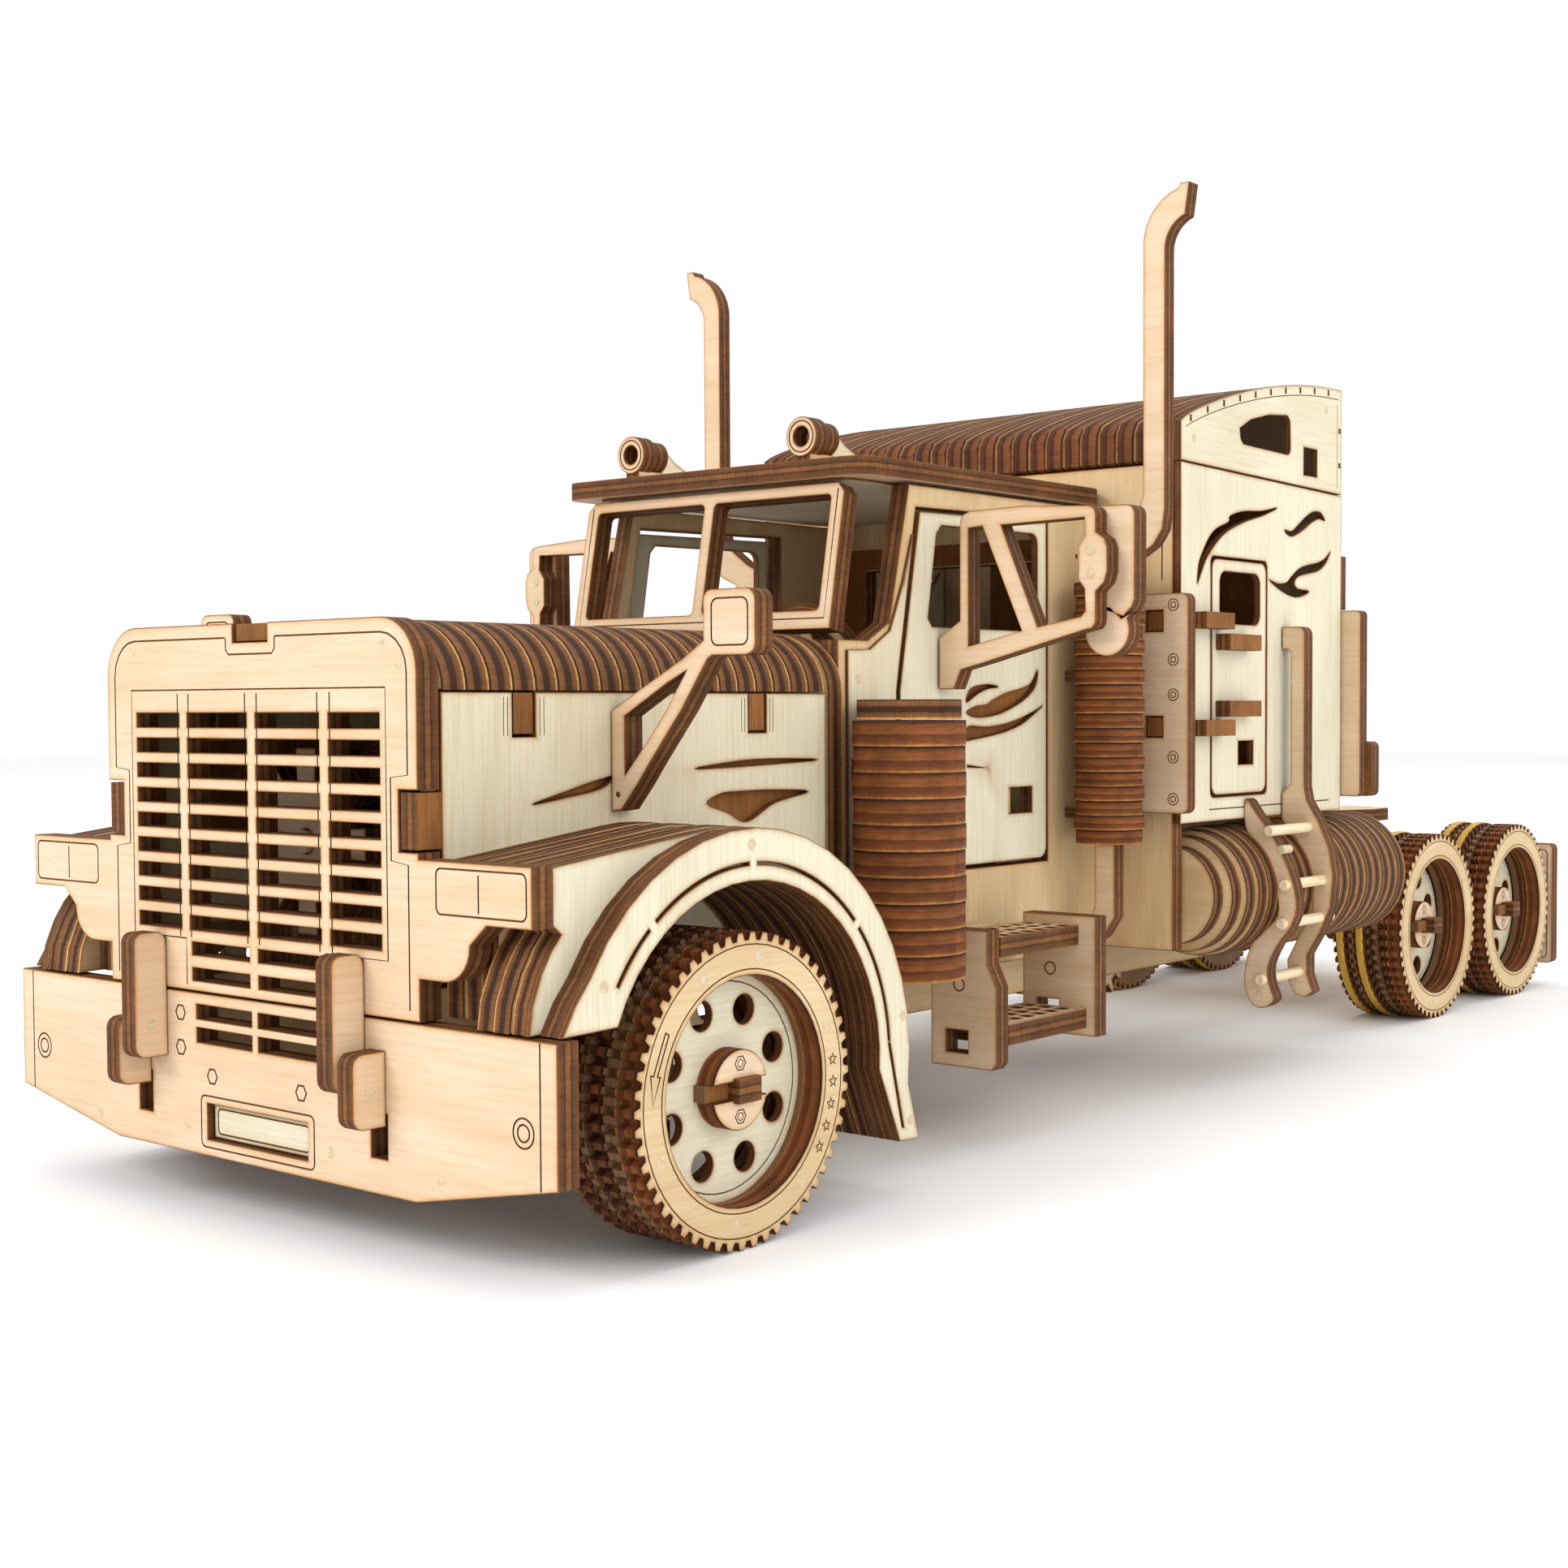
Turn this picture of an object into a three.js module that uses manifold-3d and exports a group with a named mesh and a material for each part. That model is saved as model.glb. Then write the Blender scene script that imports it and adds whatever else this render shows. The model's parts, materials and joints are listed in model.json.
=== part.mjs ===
// Long-nose truck tractor construction kit cut from plywood sheet, assembled.
// Millimetres. +X is the truck's left side, -Y its front, +Z up.
// Inside the model Y is counted from the front face of the grille plate; the
// outer group moves the middle of the truck to the origin.
import * as THREE from 'three';
import { mergeVertices } from 'three/addons/utils/BufferGeometryUtils.js';
import Module from 'manifold-3d';

const wasm = await Module();
wasm.setup();

// ---- driving dimensions ----
const PLY = 4;                 // structural plywood sheet
const SKIN = 1.5;              // thin outer panels
const GAP = 0.3;               // play between neighbouring pieces
const FRONT = -6;              // front of the bumper overriders
const REAR = 403;              // back of the rear bar
const MID = (FRONT + REAR) / 2;

const HOOD_HALF = 39.6;        // half width of hood and grille
const HOOD_TOP = 94.2;
const HOOD_EDGE = 83.6;        // where the ribbed lid ends on the sides
const HOOD_BACK = 90.4;
const BUMPER_HALF = 68;
const BUMPER_TOP = 35.8;
const CAB_HALF = 38;
const CAB_BACK = 183.4;
const CAB_TOP = 122.3;
const ROOF_HALF = 39.4;
const SLEEPER_HALF = 57;
const SLEEPER_FRONT = 184;
const SLEEPER_BACK = 258;
const FLOOR_TOP = 46;
const RAIL_IN = 20;
const RAIL_TOP = 38;
const DECK = RAIL_TOP + GAP;

const TYRE_R = 23.8;           // half the height across the tyre's flats
const TYRE_SIDES = 30;
const TYRE_OUTER = TYRE_R / Math.cos(Math.PI / TYRE_SIDES);
const FRONT_AXLE = 38.5;
const REAR_AXLES = [319.5, 373];
const FRONT_TYRE = [50, 67.7];
const DUAL_TYRE = [36.8, 55];
const KINGPIN = 46.5;
const AXLE_END = KINGPIN - 3.9;

// ---- colours ----
const BIRCH = 0xf0dcb8;
const PALE = 0xe4dfcc;
const CHAR = 0x6b4226;
const TAN = 0xd9b98c;
const DARK = 0x4a2e1c;

const truck = new THREE.Group();
truck.position.y = -MID;

// ---- solids ----
function solidOf(geometry) {
  const bare = geometry.index ? geometry.clone() : geometry;
  bare.deleteAttribute('normal');
  bare.deleteAttribute('uv');
  const merged = mergeVertices(bare, 1e-4);
  return new wasm.Manifold(new wasm.Mesh({
    numProp: 3,
    vertProperties: new Float32Array(merged.attributes.position.array),
    triVerts: new Uint32Array(merged.index.array),
  }));
}

function extruded(outline, depth) {
  const shape = new THREE.Shape(outline.map(([u, v]) => new THREE.Vector2(u, v)));
  return new THREE.ExtrudeGeometry(shape, { depth, bevelEnabled: false, curveSegments: 1 });
}

// Extrudes an outline from w0 to w1, cuts the holes right through it, and
// turns the result with a frame that carries (u, v, w) to (x, y, z).
function plate(frame, outline, w0, w1, holes) {
  const slab = (points, from, to) => {
    const geometry = extruded(points, to - from);
    geometry.translate(0, 0, from);
    geometry.applyMatrix4(frame);
    return solidOf(geometry);
  };
  return cut(slab(outline, w0, w1), holes.map((hole) => slab(hole, w0 - 1, w1 + 1)));
}

const FRAME_X = new THREE.Matrix4().set(0, 0, 1, 0, 1, 0, 0, 0, 0, 1, 0, 0, 0, 0, 0, 1);
const FRAME_Y = new THREE.Matrix4().set(1, 0, 0, 0, 0, 0, -1, 0, 0, 1, 0, 0, 0, 0, 0, 1);
const FRAME_Z = new THREE.Matrix4();

// A plate whose outline lies in (y, z) and whose thickness runs from x0 to x1.
function plateX(outline, x0, x1, holes = []) {
  return plate(FRAME_X, outline, Math.min(x0, x1), Math.max(x0, x1), holes);
}

// A plate whose outline lies in (x, z) and whose thickness runs from y0 to y1.
function plateY(outline, y0, y1, holes = []) {
  return plate(FRAME_Y, outline, -y1, -y0, holes);
}

// A plate whose outline lies in (x, y) and whose thickness runs from z0 to z1.
function plateZ(outline, z0, z1, holes = []) {
  return plate(FRAME_Z, outline, z0, z1, holes);
}

function rect(u0, v0, u1, v1) {
  return [[u0, v0], [u1, v0], [u1, v1], [u0, v1]];
}

function roundRect(u0, v0, u1, v1, r, steps = 3) {
  const corners = [[u1 - r, v0 + r, -90], [u1 - r, v1 - r, 0], [u0 + r, v1 - r, 90], [u0 + r, v0 + r, 180]];
  return corners.flatMap(([u, v, from]) => arc(u, v, r, from, from + 90, steps));
}

function arc(u, v, r, fromDeg, toDeg, steps) {
  return Array.from({ length: steps + 1 }, (_, i) => {
    const a = THREE.MathUtils.degToRad(fromDeg + (toDeg - fromDeg) * i / steps);
    return [u + r * Math.cos(a), v + r * Math.sin(a)];
  });
}

function ring(u, v, r, sides, turnDeg = 0) {
  return arc(u, v, r, turnDeg, turnDeg + 360, sides).slice(0, -1);
}

function mirrored(points) {
  return points.map(([u, v]) => [-u, v]).reverse();
}

function box(x0, x1, y0, y1, z0, z1) {
  return plateZ(rect(Math.min(x0, x1), y0, Math.max(x0, x1), y1), z0, z1);
}

function union(solids) {
  return solids.reduce((whole, next) => whole.add(next));
}

function cut(solid, holes) {
  return holes.reduce((whole, next) => whole.subtract(next), solid);
}

// ---- naming and colour ----
function add(name, solid, color, roughness = 0.75) {
  const mesh = solid.getMesh();
  const geometry = new THREE.BufferGeometry();
  geometry.setAttribute('position', new THREE.BufferAttribute(new Float32Array(mesh.vertProperties), 3));
  geometry.setIndex(new THREE.BufferAttribute(new Uint32Array(mesh.triVerts), 1));
  geometry.computeVertexNormals();
  const node = new THREE.Mesh(geometry, new THREE.MeshStandardMaterial({ color, roughness, metalness: 0 }));
  node.name = name;
  truck.add(node);
}

const SIDES = [['left', 1], ['right', -1]];

// Makes the same piece for both sides; make(s) gets +1 on the left, -1 on the right.
function addPair(name, make, color) {
  for (const [side, s] of SIDES) {
    add(`${name}_${side}`, make(s), color);
  }
}

// ---- front end ----
function grilleHoles() {
  const columns = [[-31.2, -19.2], [-17, -1.1], [1.1, 17], [19.2, 31.2]];
  const rows = Array.from({ length: 9 }, (_, i) => 45.8 + i * 4.03);
  const main = columns.flatMap(([x0, x1]) => rows.map((z) => rect(x0, z, x1, z + 2.3)));
  const lower = [[-16.5, -1.1], [1.1, 16.5]].flatMap(([x0, x1]) => (
    [37.7, 41.8].map((z) => rect(x0, z, x1, z + 2.1))));
  return [...main, ...lower];
}

function frontPanel() {
  const half = [
    [HOOD_HALF, BUMPER_TOP + GAP], [HOOD_HALF, 42.3], [45, 42.3],
    ...arc(45, 47.8, 5.5, -80, 0, 3), [54, 50.8], [63.3, 50.8], [63.3, 59.4], [HOOD_HALF, 59.4],
    [HOOD_HALF, 60.3], [35.3, 60.3], [35.3, 69.3], [HOOD_HALF, 69.3],
    ...arc(HOOD_HALF - 8, HOOD_TOP - 8, 8, 0, 90, 4),
  ];
  return plateY([...half, ...mirrored(half)], 0, PLY, grilleHoles());
}

function bumper() {
  const half = [[38.4, 10], [BUMPER_HALF, 15.7], [BUMPER_HALF, BUMPER_TOP]];
  const window = [[-15.6, -0.8], [0.8, 15.6]].flatMap(([x0, x1]) => (
    [27.9, 31.6].map((z) => rect(x0, z, x1, z + 2.4))));
  const licence = rect(-13, 12.6, 13, 18.4);
  const slots = [rect(28.2, 15.3, 32, 22), rect(-32, 15.3, -28.2, 22)];
  const plate = plateY([...half, ...mirrored(half)], 0, PLY, [...window, licence, ...slots]);
  const long = [[-GAP, BUMPER_TOP + GAP], [-GAP, 44.5], [-1.5, 45.2], [-5, 45.2], [FRONT, 44], [FRONT, 27.5],
    [-4, 25], [2, 25], [2, BUMPER_TOP - GAP]];
  const short = [[2, 31.3], [-4.5, 31.3], [FRONT, 29.5], [FRONT, 22.4], [-4, 20.2], [2, 20.2]];
  const guards = [-1, 1].flatMap((s) => [plateX(long, s * 23.5, s * 28.1), plateX(short, s * 28, s * 32)]);
  return union([plate, ...guards]);
}

function hoodSide(s) {
  const panel = plateX(rect(4.4, 44, 90.6, HOOD_EDGE - GAP), s * (HOOD_HALF - SKIN), s * HOOD_HALF);
  const tab = box(s * 35.6, s * (HOOD_HALF - 0.1), 0.2, 8, 60.7, 68.9);
  const ribs = [18.2, 70.6].map((y) => box(s * 35.6, s * (HOOD_HALF - 0.2), y, y + PLY, 77, HOOD_EDGE - GAP));
  return union([panel, tab, ...ribs]);
}

// Right half of the hood's section, from its lower edge over the rounded
// shoulder to the flat top.
function hoodOutline(bottom, inset) {
  const side = HOOD_HALF - inset;
  const rise = HOOD_TOP - inset - HOOD_EDGE;
  const shoulder = [0, 20, 40, 60, 90].map((degrees) => {
    const a = THREE.MathUtils.degToRad(degrees);
    return [side - 13 + 13 * Math.cos(a), HOOD_EDGE + rise * Math.sin(a)];
  });
  return bottom < HOOD_EDGE ? [[side, bottom], ...shoulder] : shoulder;
}

function hood() {
  const outer = hoodOutline(HOOD_EDGE, 0);
  const inner = hoodOutline(HOOD_EDGE, PLY);
  const outline = [...outer, ...mirrored(outer), ...mirrored(inner).reverse(), ...inner.reverse()];
  return plateY(outline, 4.6, HOOD_BACK);
}

function hoodMirror(s) {
  const outline = [[39.9, 64.7], [41.5, 65], [48.2, 72.4], [60.5, 89], [69, 89], [70.1, 90.2], [70.1, 97.2],
    [68.8, 98.5], [61, 98.5], [59.6, 97], [59.5, 90.5], [39.9, 81]];
  const window = [[43, 71], [43, 79.5], [55.5, 87]];
  const place = (points) => (s > 0 ? points : mirrored(points));
  return plateY(place(outline), 38, 38 + PLY, [place(window)]);
}

// Front wheel arch. Its foot curves forward over the bumper, and inboard of
// SCROLL the laminated body stays behind the grille plate.
const ARCH = { y: 40.5, z: 24.5, outer: 38.5, inner: 30.5 };
const SCROLL = 51;
const FOOT = [[6.4, 49.6], [2.6, 44.4], [0.9, 40.2], [GAP, BUMPER_TOP + GAP]];

function archProfile(front) {
  const back = arc(ARCH.y, ARCH.z, ARCH.outer, 0, 96, 8);
  const inside = arc(ARCH.y, ARCH.z, ARCH.inner, 157, 0, 10);
  return [[81.5, 9.5], ...back, ...front, ...inside, [76.5, 9.8]];
}

function fender(s) {
  const nose = [[4.6, 59], [4.6, 51]];
  const behind = plateX(archProfile([[4.6, 59], [4.6, 36.3]]), s * 39.9, s * SCROLL);
  const body = plateX(archProfile([...nose, ...FOOT]), s * SCROLL, s * 62.2);
  const shoulder = arc(ARCH.y, ARCH.z, ARCH.outer, 108, 138, 3);
  const arch = plateX(archProfile([...shoulder, ...FOOT]), s * 62.2, s * 67);
  return union([behind, body, arch]);
}

function engine() {
  const block = box(-13, 13, 14, 78, DECK, 62);
  const bank = [[2, 60], [15, 74], [24, 66], [12, 52]];
  const heads = [bank, mirrored(bank)].map((outline) => plateY(outline, 20, 74));
  const intake = box(-8, 8, 26, 68, 60, 78);
  const fan = plateY(ring(0, 60, 15, 16), 10, 14.2);
  return union([block, ...heads, intake, fan]);
}

// ---- chassis ----
function rail(s) {
  const outline = [[4.4, 20], [29, 20], [31, 29], [47, 29], [49, 20], [390, 20], [398.6, 26],
    [398.6, RAIL_TOP], [4.4, RAIL_TOP]];
  const bores = REAR_AXLES.map((y) => ring(y, TYRE_R, 3.3, 12));
  return plateX(outline, s * RAIL_IN, s * (RAIL_IN + PLY), bores);
}

function frontCrossmember() {
  return box(-RAIL_IN + GAP, RAIL_IN - GAP, 62, 66, 21, RAIL_TOP);
}

function fifthWheelBase() {
  const deck = box(-24, 24, 322, 370, DECK, 42);
  const ear = [[340, 41], [352, 41], [352, 44], [349, 47.6], [343, 47.6], [340, 44]];
  const ears = [-1, 1].map((s) => plateX(ear, s * 15, s * 19));
  return union([deck, ...ears]);
}

function fifthWheel() {
  const plate = [...arc(0, 346, 17.5, 200, 340, 10), [22, 352], [22, 362], [5, 368], [4, 352], [0, 349],
    [-4, 352], [-5, 368], [-22, 362], [-22, 352]];
  const top = plateZ(plate, 48.4, 51.8);
  const lug = box(-14.6, 14.6, 343.5, 348.5, 44.4, 48.6);
  return union([top, lug]);
}

function rearBar() {
  const bar = box(-34, 34, 398.9, REAR, 24, RAIL_TOP);
  const flaps = [-1, 1].map((s) => box(s * 33, s * 55.3, 398.9, REAR, 6.2, 40.7));
  return union([bar, ...flaps]);
}

function tread(y, z, s, range) {
  return plateX(ring(y, z, TYRE_OUTER, TYRE_SIDES, 180 / TYRE_SIDES), s * range[0], s * range[1]);
}

function frontWheel(s) {
  const recess = plateX(ring(FRONT_AXLE, TYRE_R, 17.3, 20), s * 60.6, s * 69);
  const behind = plateX(ring(FRONT_AXLE, TYRE_R, 17.5, 20), s * 49, s * 55);
  const hub = plateX(ring(FRONT_AXLE, TYRE_R, 5.9, 16), s * 60, s * 67);
  const bore = plateX(ring(FRONT_AXLE, TYRE_R, 2.8, 12), s * 49, s * 62);
  return cut(tread(FRONT_AXLE, TYRE_R, s, FRONT_TYRE), [recess, behind]).add(hub).subtract(bore);
}

function knuckle(s) {
  const upright = box(s * 44.2, s * 48.8, FRONT_AXLE - 4, FRONT_AXLE + 4, 17, 31);
  const spindle = plateX(ring(FRONT_AXLE, TYRE_R, 2.4, 12), s * 48, s * 61.4);
  const arm = box(s * 44.2, s * 47.4, FRONT_AXLE + 3, FRONT_AXLE + 17, 26, 30);
  return union([upright, spindle, arm]);
}

// The beam stops short enough of the kingpins for the knuckles' corners to swing past it.
function frontAxle() {
  const beam = box(-AXLE_END, AXLE_END, FRONT_AXLE - 4, FRONT_AXLE + 4, 20.5, 27);
  const forks = [-1, 1].flatMap((s) => [[12.6, 16.7], [31.3, 35.4]].map(([z0, z1]) => (
    box(s * 41, s * 49, FRONT_AXLE - 3.5, FRONT_AXLE + 3.5, z0, z1))));
  const posts = [-1, 1].map((s) => (
    box(s * 39.4, s * AXLE_END, FRONT_AXLE - 3.5, FRONT_AXLE + 3.5, 12.6, 35.4)));
  return union([beam, ...forks, ...posts]);
}

function dual(y, s) {
  const recess = plateX(ring(y, TYRE_R, 17.3, 20), s * 47.6, s * 56);
  const hub = plateX(ring(y, TYRE_R, 5.9, 16), s * 46, s * 54.4);
  const bore = plateX(ring(y, TYRE_R, 3.1, 12), s * 36, s * 45);
  return cut(tread(y, TYRE_R, s, DUAL_TYRE), [recess, bore]).add(hub);
}

function rearAxle(y) {
  return plateX(ring(y, TYRE_R, 2.8, 12), -44.7, 44.7);
}

function gearOutline(y, z, rootR, tipR, teeth, phase) {
  const points = [];
  for (let i = 0; i < teeth; i += 1) {
    for (const [share, r] of [[-0.27, rootR], [-0.12, tipR], [0.12, tipR], [0.27, rootR]]) {
      const a = (i + share + phase) / teeth * Math.PI * 2;
      points.push([y + r * Math.cos(a), z + r * Math.sin(a)]);
    }
  }
  return points;
}

// The gear on the rubber motor's shaft and the smaller one it drives.
const GEAR_Z = 29;
const MOTOR_Y = 215.2;
const IDLER_Y = MOTOR_Y - 26.67;

function gear(y, rootR, tipR, teeth, phase) {
  const disc = plateX(gearOutline(y, GEAR_Z, rootR, tipR, teeth, phase), 12, 16);
  const shaft = plateX(ring(y, GEAR_Z, 3.2, 10), -19.4, 19.4);
  return union([disc, shaft]);
}

// ---- cab ----
function cabFloor() {
  const cab = box(-CAB_HALF + PLY + GAP, CAB_HALF - PLY - GAP, 100.4, CAB_BACK, 42, FLOOR_TOP);
  const bed = plateZ(rect(-36, 188.5, 36, 253.5), 42, FLOOR_TOP, [rect(10, 190.5, 18, 236)]);
  const bridge = box(-30, 30, CAB_BACK - 1, 189, 42, FLOOR_TOP);
  const blocks = [150, 240].map((y) => box(-24, 24, y, y + 8, DECK, 43));
  return union([cab, bed, bridge, ...blocks]);
}

function cowl() {
  const half = hoodOutline(46.2, 0);
  return plateY([...half, ...mirrored(half)], 91.4, 95.6, [rect(-20, 56, 20, 80)]);
}

const RAKE = 10.4;             // windshield lean, degrees from upright

function windshield() {
  const half = [[33.5, -2.2], [33.4, 25.2]];
  const panes = [rect(-30.2, 1.4, -1.4, 23), rect(1.4, 1.4, 30.2, 23)];
  const frame = plateZ([...half, ...mirrored(half)], 0, PLY, panes);
  return frame.rotate([90 - RAKE, 0, 0]).translate([0, 103.4, 96.6]);
}

const DOOR = [[113.3, 50], [162.6, 50], [162.6, 118.4], [119.6, 117.6], [113.3, 84]];

// Moves each corner of the door outline away from its middle.
function grown(points, by) {
  const cy = 138;
  const cz = 84;
  return points.map(([y, z]) => [y + Math.sign(y - cy) * by, z + Math.sign(z - cz) * by]);
}

function cabSide(s) {
  const outline = [[96, 30], [CAB_BACK, 30], [CAB_BACK, CAB_TOP], [117, CAB_TOP], [111, 96.5], [104.6, 93],
    [96, 93]];
  return plateX(outline, s * (CAB_HALF - PLY), s * CAB_HALF, [grown(DOOR, 0.5)]);
}

function door(s) {
  const window = [[122.3, 96], [159, 96.6], [159, 115.6], [125, 115.2]];
  const grip = rect(149, 59, 157, 65);
  return plateX(DOOR, s * (CAB_HALF - SKIN - 1.5), s * (CAB_HALF + 0.4), [window, grip]);
}

function doorMirror(s) {
  const outline = [[38.8, 84], [44, 84], [47, 90.5], [76, 98.5], [80, 102], [80, 115.5], [77.5, 117.4],
    [44.5, 118.6], [40.5, 116]];
  const small = [[44.2, 93], [54.5, 96], [48.6, 113], [44.2, 113.2]];
  const large = [[58.4, 97], [74, 101], [74, 113], [52.3, 113.6]];
  const place = (points) => (s > 0 ? points : mirrored(points));
  const arm = plateY(place(outline), 125, 129, [small, large].map(place));
  const glass = plateY(place(roundRect(69.5, 94.5, 79.6, 117.2, 2)), 128.8, 133.4);
  const disc = plateY(place(ring(74, 94.6, 4.9, 14)), 129.2, 133.3);
  return union([arm, glass, disc]);
}

function cabRoof() {
  const bottom = CAB_TOP + GAP;
  return plateZ(roundRect(-ROOF_HALF, 101.8, ROOF_HALF, CAB_BACK, 5), bottom, bottom + PLY - 0.2);
}

function horn(s) {
  const bell = plateY(ring(s * 22.3, 131.4, 3.8, 14), 104.5, 111.5, [ring(s * 22.3, 131.4, 1.9, 10)]);
  const outline = [[108, 126.4], [128, 126.4], [128, 127.6], [118, 129], [111, 133], [108, 133]];
  const fin = plateX(outline, s * 20.3, s * 24.3);
  const foot = box(s * 20.3, s * 24.3, 104.5, 112, 126.4, 129);
  return union([fin, foot, bell]).add(box(s * 20.3, s * 24.3, 111, 113, 127, 133));
}

function seats() {
  const seat = (s) => union([box(s * 6, s * 26, 140, 160, 50, 58), box(s * 6, s * 26, 158, 163, 50, 92)]);
  return union([box(-26, 26, 142, 162, 46.3, 51), seat(1), seat(-1)]);
}

const COLUMN_TILT = 55;        // steering column, degrees from upright

function steeringWheel() {
  const rim = plateZ(ring(0, 0, 9.6, 20), 0, 3, [ring(0, 0, 7.4, 20)]);
  const spokes = plateZ(rect(-8.4, -1.6, 8.4, 1.6), 0, 3);
  const boss = plateZ(ring(0, 0, 3, 10), -11, 3);
  return union([rim, spokes, boss]).rotate([-COLUMN_TILT, 0, 0]).translate([13, 119, 91.5]);
}

// ---- sleeper ----
function sleeperTop(y) {
  // Side edge of the fairing: quick rise, then nearly level.
  const t = Math.max(0, (y - SLEEPER_FRONT) / (SLEEPER_BACK - SLEEPER_FRONT));
  return 139.6 + 14.5 * Math.sin(t * Math.PI / 2) ** 0.8;
}

function sleeperFront() {
  const half = SLEEPER_HALF - SKIN - GAP;
  const right = [[26, 112], [26, FLOOR_TOP + GAP], [38, FLOOR_TOP + GAP], [38, 30], [half, 30], [half, 131]];
  const wall = plateY([...right, ...mirrored(right)], SLEEPER_FRONT, 188);
  const braces = [-1, 1].map((s) => box(s * 48, s * half, 180.6, 185, 58.8, 104));
  const wings = [-1, 1].map((s) => box(s * 50, s * 60.8, 180.6, 183.8, 58.8, 104));
  return union([wall, ...braces, ...wings]);
}

const SIDE_BOTTOM = 56.5;      // just above the fuel tank
const LOCKER = { y0: 197, y1: 221, z0: 62, z1: 112 };

function sleeperSide(s) {
  const ys = [258, 250, 242, 234, 226, 218, 210, 202, 196, 190, 184];
  const roofline = ys.map((y) => [y, sleeperTop(y)]);
  const outline = [[SLEEPER_FRONT, SIDE_BOTTOM], [SLEEPER_BACK, SIDE_BOTTOM], ...roofline];
  const holes = [
    rect(LOCKER.y0 - 0.5, LOCKER.z0 - 0.5, LOCKER.y1 + 0.5, LOCKER.z1 + 0.5),
    [[208.5, 137.5], [233, 137.5], [232, 145.5], [222, 146.5], [209.5, 142.5]],
    rect(238.6, 133, 245.6, 139.2),
  ];
  return plateX(outline, s * (SLEEPER_HALF - SKIN), s * SLEEPER_HALF, holes);
}

function lockerDoor(s) {
  const outline = rect(LOCKER.y0, LOCKER.z0, LOCKER.y1, LOCKER.z1);
  const holes = [roundRect(201, 98.5, 217, 109, 2), rect(209, 67.8, 215, 73.4)];
  return plateX(outline, s * (SLEEPER_HALF - SKIN), s * SLEEPER_HALF, holes);
}

function sleeperRear() {
  const half = SLEEPER_HALF - SKIN - GAP;
  const right = [[36, 44], [36, SIDE_BOTTOM], [half, SIDE_BOTTOM], [half, 149.6]];
  const wall = plateY([...right, ...mirrored(right)], SLEEPER_BACK - 4.2, SLEEPER_BACK - 0.2);
  const posts = [-1, 1].flatMap((s) => [
    box(s * 50, s * half, SLEEPER_BACK - 0.4, 262, 59.4, 103),
    box(s * 50, s * 62, SLEEPER_BACK + GAP, 262, 59.4, 103),
  ]);
  return union([wall, ...posts]);
}

// Shell of long ribs that stand side by side; every rib has the side
// panel's profile and a blunt nose over the front wall.
function sleeperRoof() {
  const ys = [SLEEPER_FRONT - 1, 188, 193, 199, 206, 214, 224, 236, 248, SLEEPER_BACK - 0.2];
  const top = ys.map((y) => [y, sleeperTop(y)]);
  const under = ys.slice(1).reverse().map((y) => [y, sleeperTop(y) - PLY]);
  const profile = [...top, ...under, [188, 131.3], [SLEEPER_FRONT - 1, 131.3]];
  return plateX(profile.reverse(), -(SLEEPER_HALF - SKIN - GAP), SLEEPER_HALF - SKIN - GAP);
}

// ---- outside fittings ----
function airCleaner(s) {
  const body = plateZ(ring(s * 50.2, 101, 10.2, 20), 33, 78.6);
  const cap = plateZ(ring(s * 50.2, 101, 9.4, 20), 78.5, 82.3);
  return union([body, cap]);
}

const MUFFLER_TOP = 106;

function exhaust(s) {
  const y0 = 168.6;
  const y1 = y0 + PLY - 0.2;
  const place = (points) => (s > 0 ? points : mirrored(points));
  const stack = [[57.2, 130], [57.2, 123], [56, 119.6], [53, 116.8], [45, 112], [45, MUFFLER_TOP - 0.5],
    [52.6, MUFFLER_TOP - 0.5], [52.6, 109.2], [56.4, 111], [59.6, 113], [61.6, 116], [62.2, 120],
    [62.2, 171], ...arc(68.7, 171, 6.5, 180, 108, 3), [67.6, 183.4],
    [65.6, 183.4], ...arc(67.6, 172.4, 10.4, 108, 176, 4)];
  const pipe = [[45.8, 54.5], [45.8, 39], [43.6, 35.6], [38.5, 34.4], [38.5, 30.6], [46, 32], [50.6, 37.6],
    [50.6, 54.5]];
  const muffler = plateZ(ring(s * 48.2, y0 + 2, 7.3, 18), 53, MUFFLER_TOP);
  return union([plateY(place(stack), y0, y1), plateY(place(pipe.reverse()), y0, y1), muffler]);
}

function cabStep(s) {
  const front = box(s * 43.6, s * 58.6, 116, 120, 14.8, 40.2);
  const back = box(s * 43.6, s * 60.6, 146, 150, 17.4, 40.6);
  const treads = [[19, 23], [35, 38.8]].map(([z0, z1]) => box(s * 44, s * 58.4, 119.9, 146.1, z0, z1));
  const arm = box(s * 38.3, s * 45, 128, 138, 35, 38.8);
  return union([front, back, ...treads, arm]);
}

function fuelTank(s) {
  const round = ring(s * 51.4, 41, 14.4, 24);
  const body = plateY(round, 189.6, 210.4);
  const middle = plateY(round, 215.6, 227.4);
  const tail = plateY(round, 232.6, 275);
  const core = plateY(ring(s * 46, 41, 7.5, 12), 189.6, 275);
  return union([body, middle, tail, core]);
}

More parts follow.
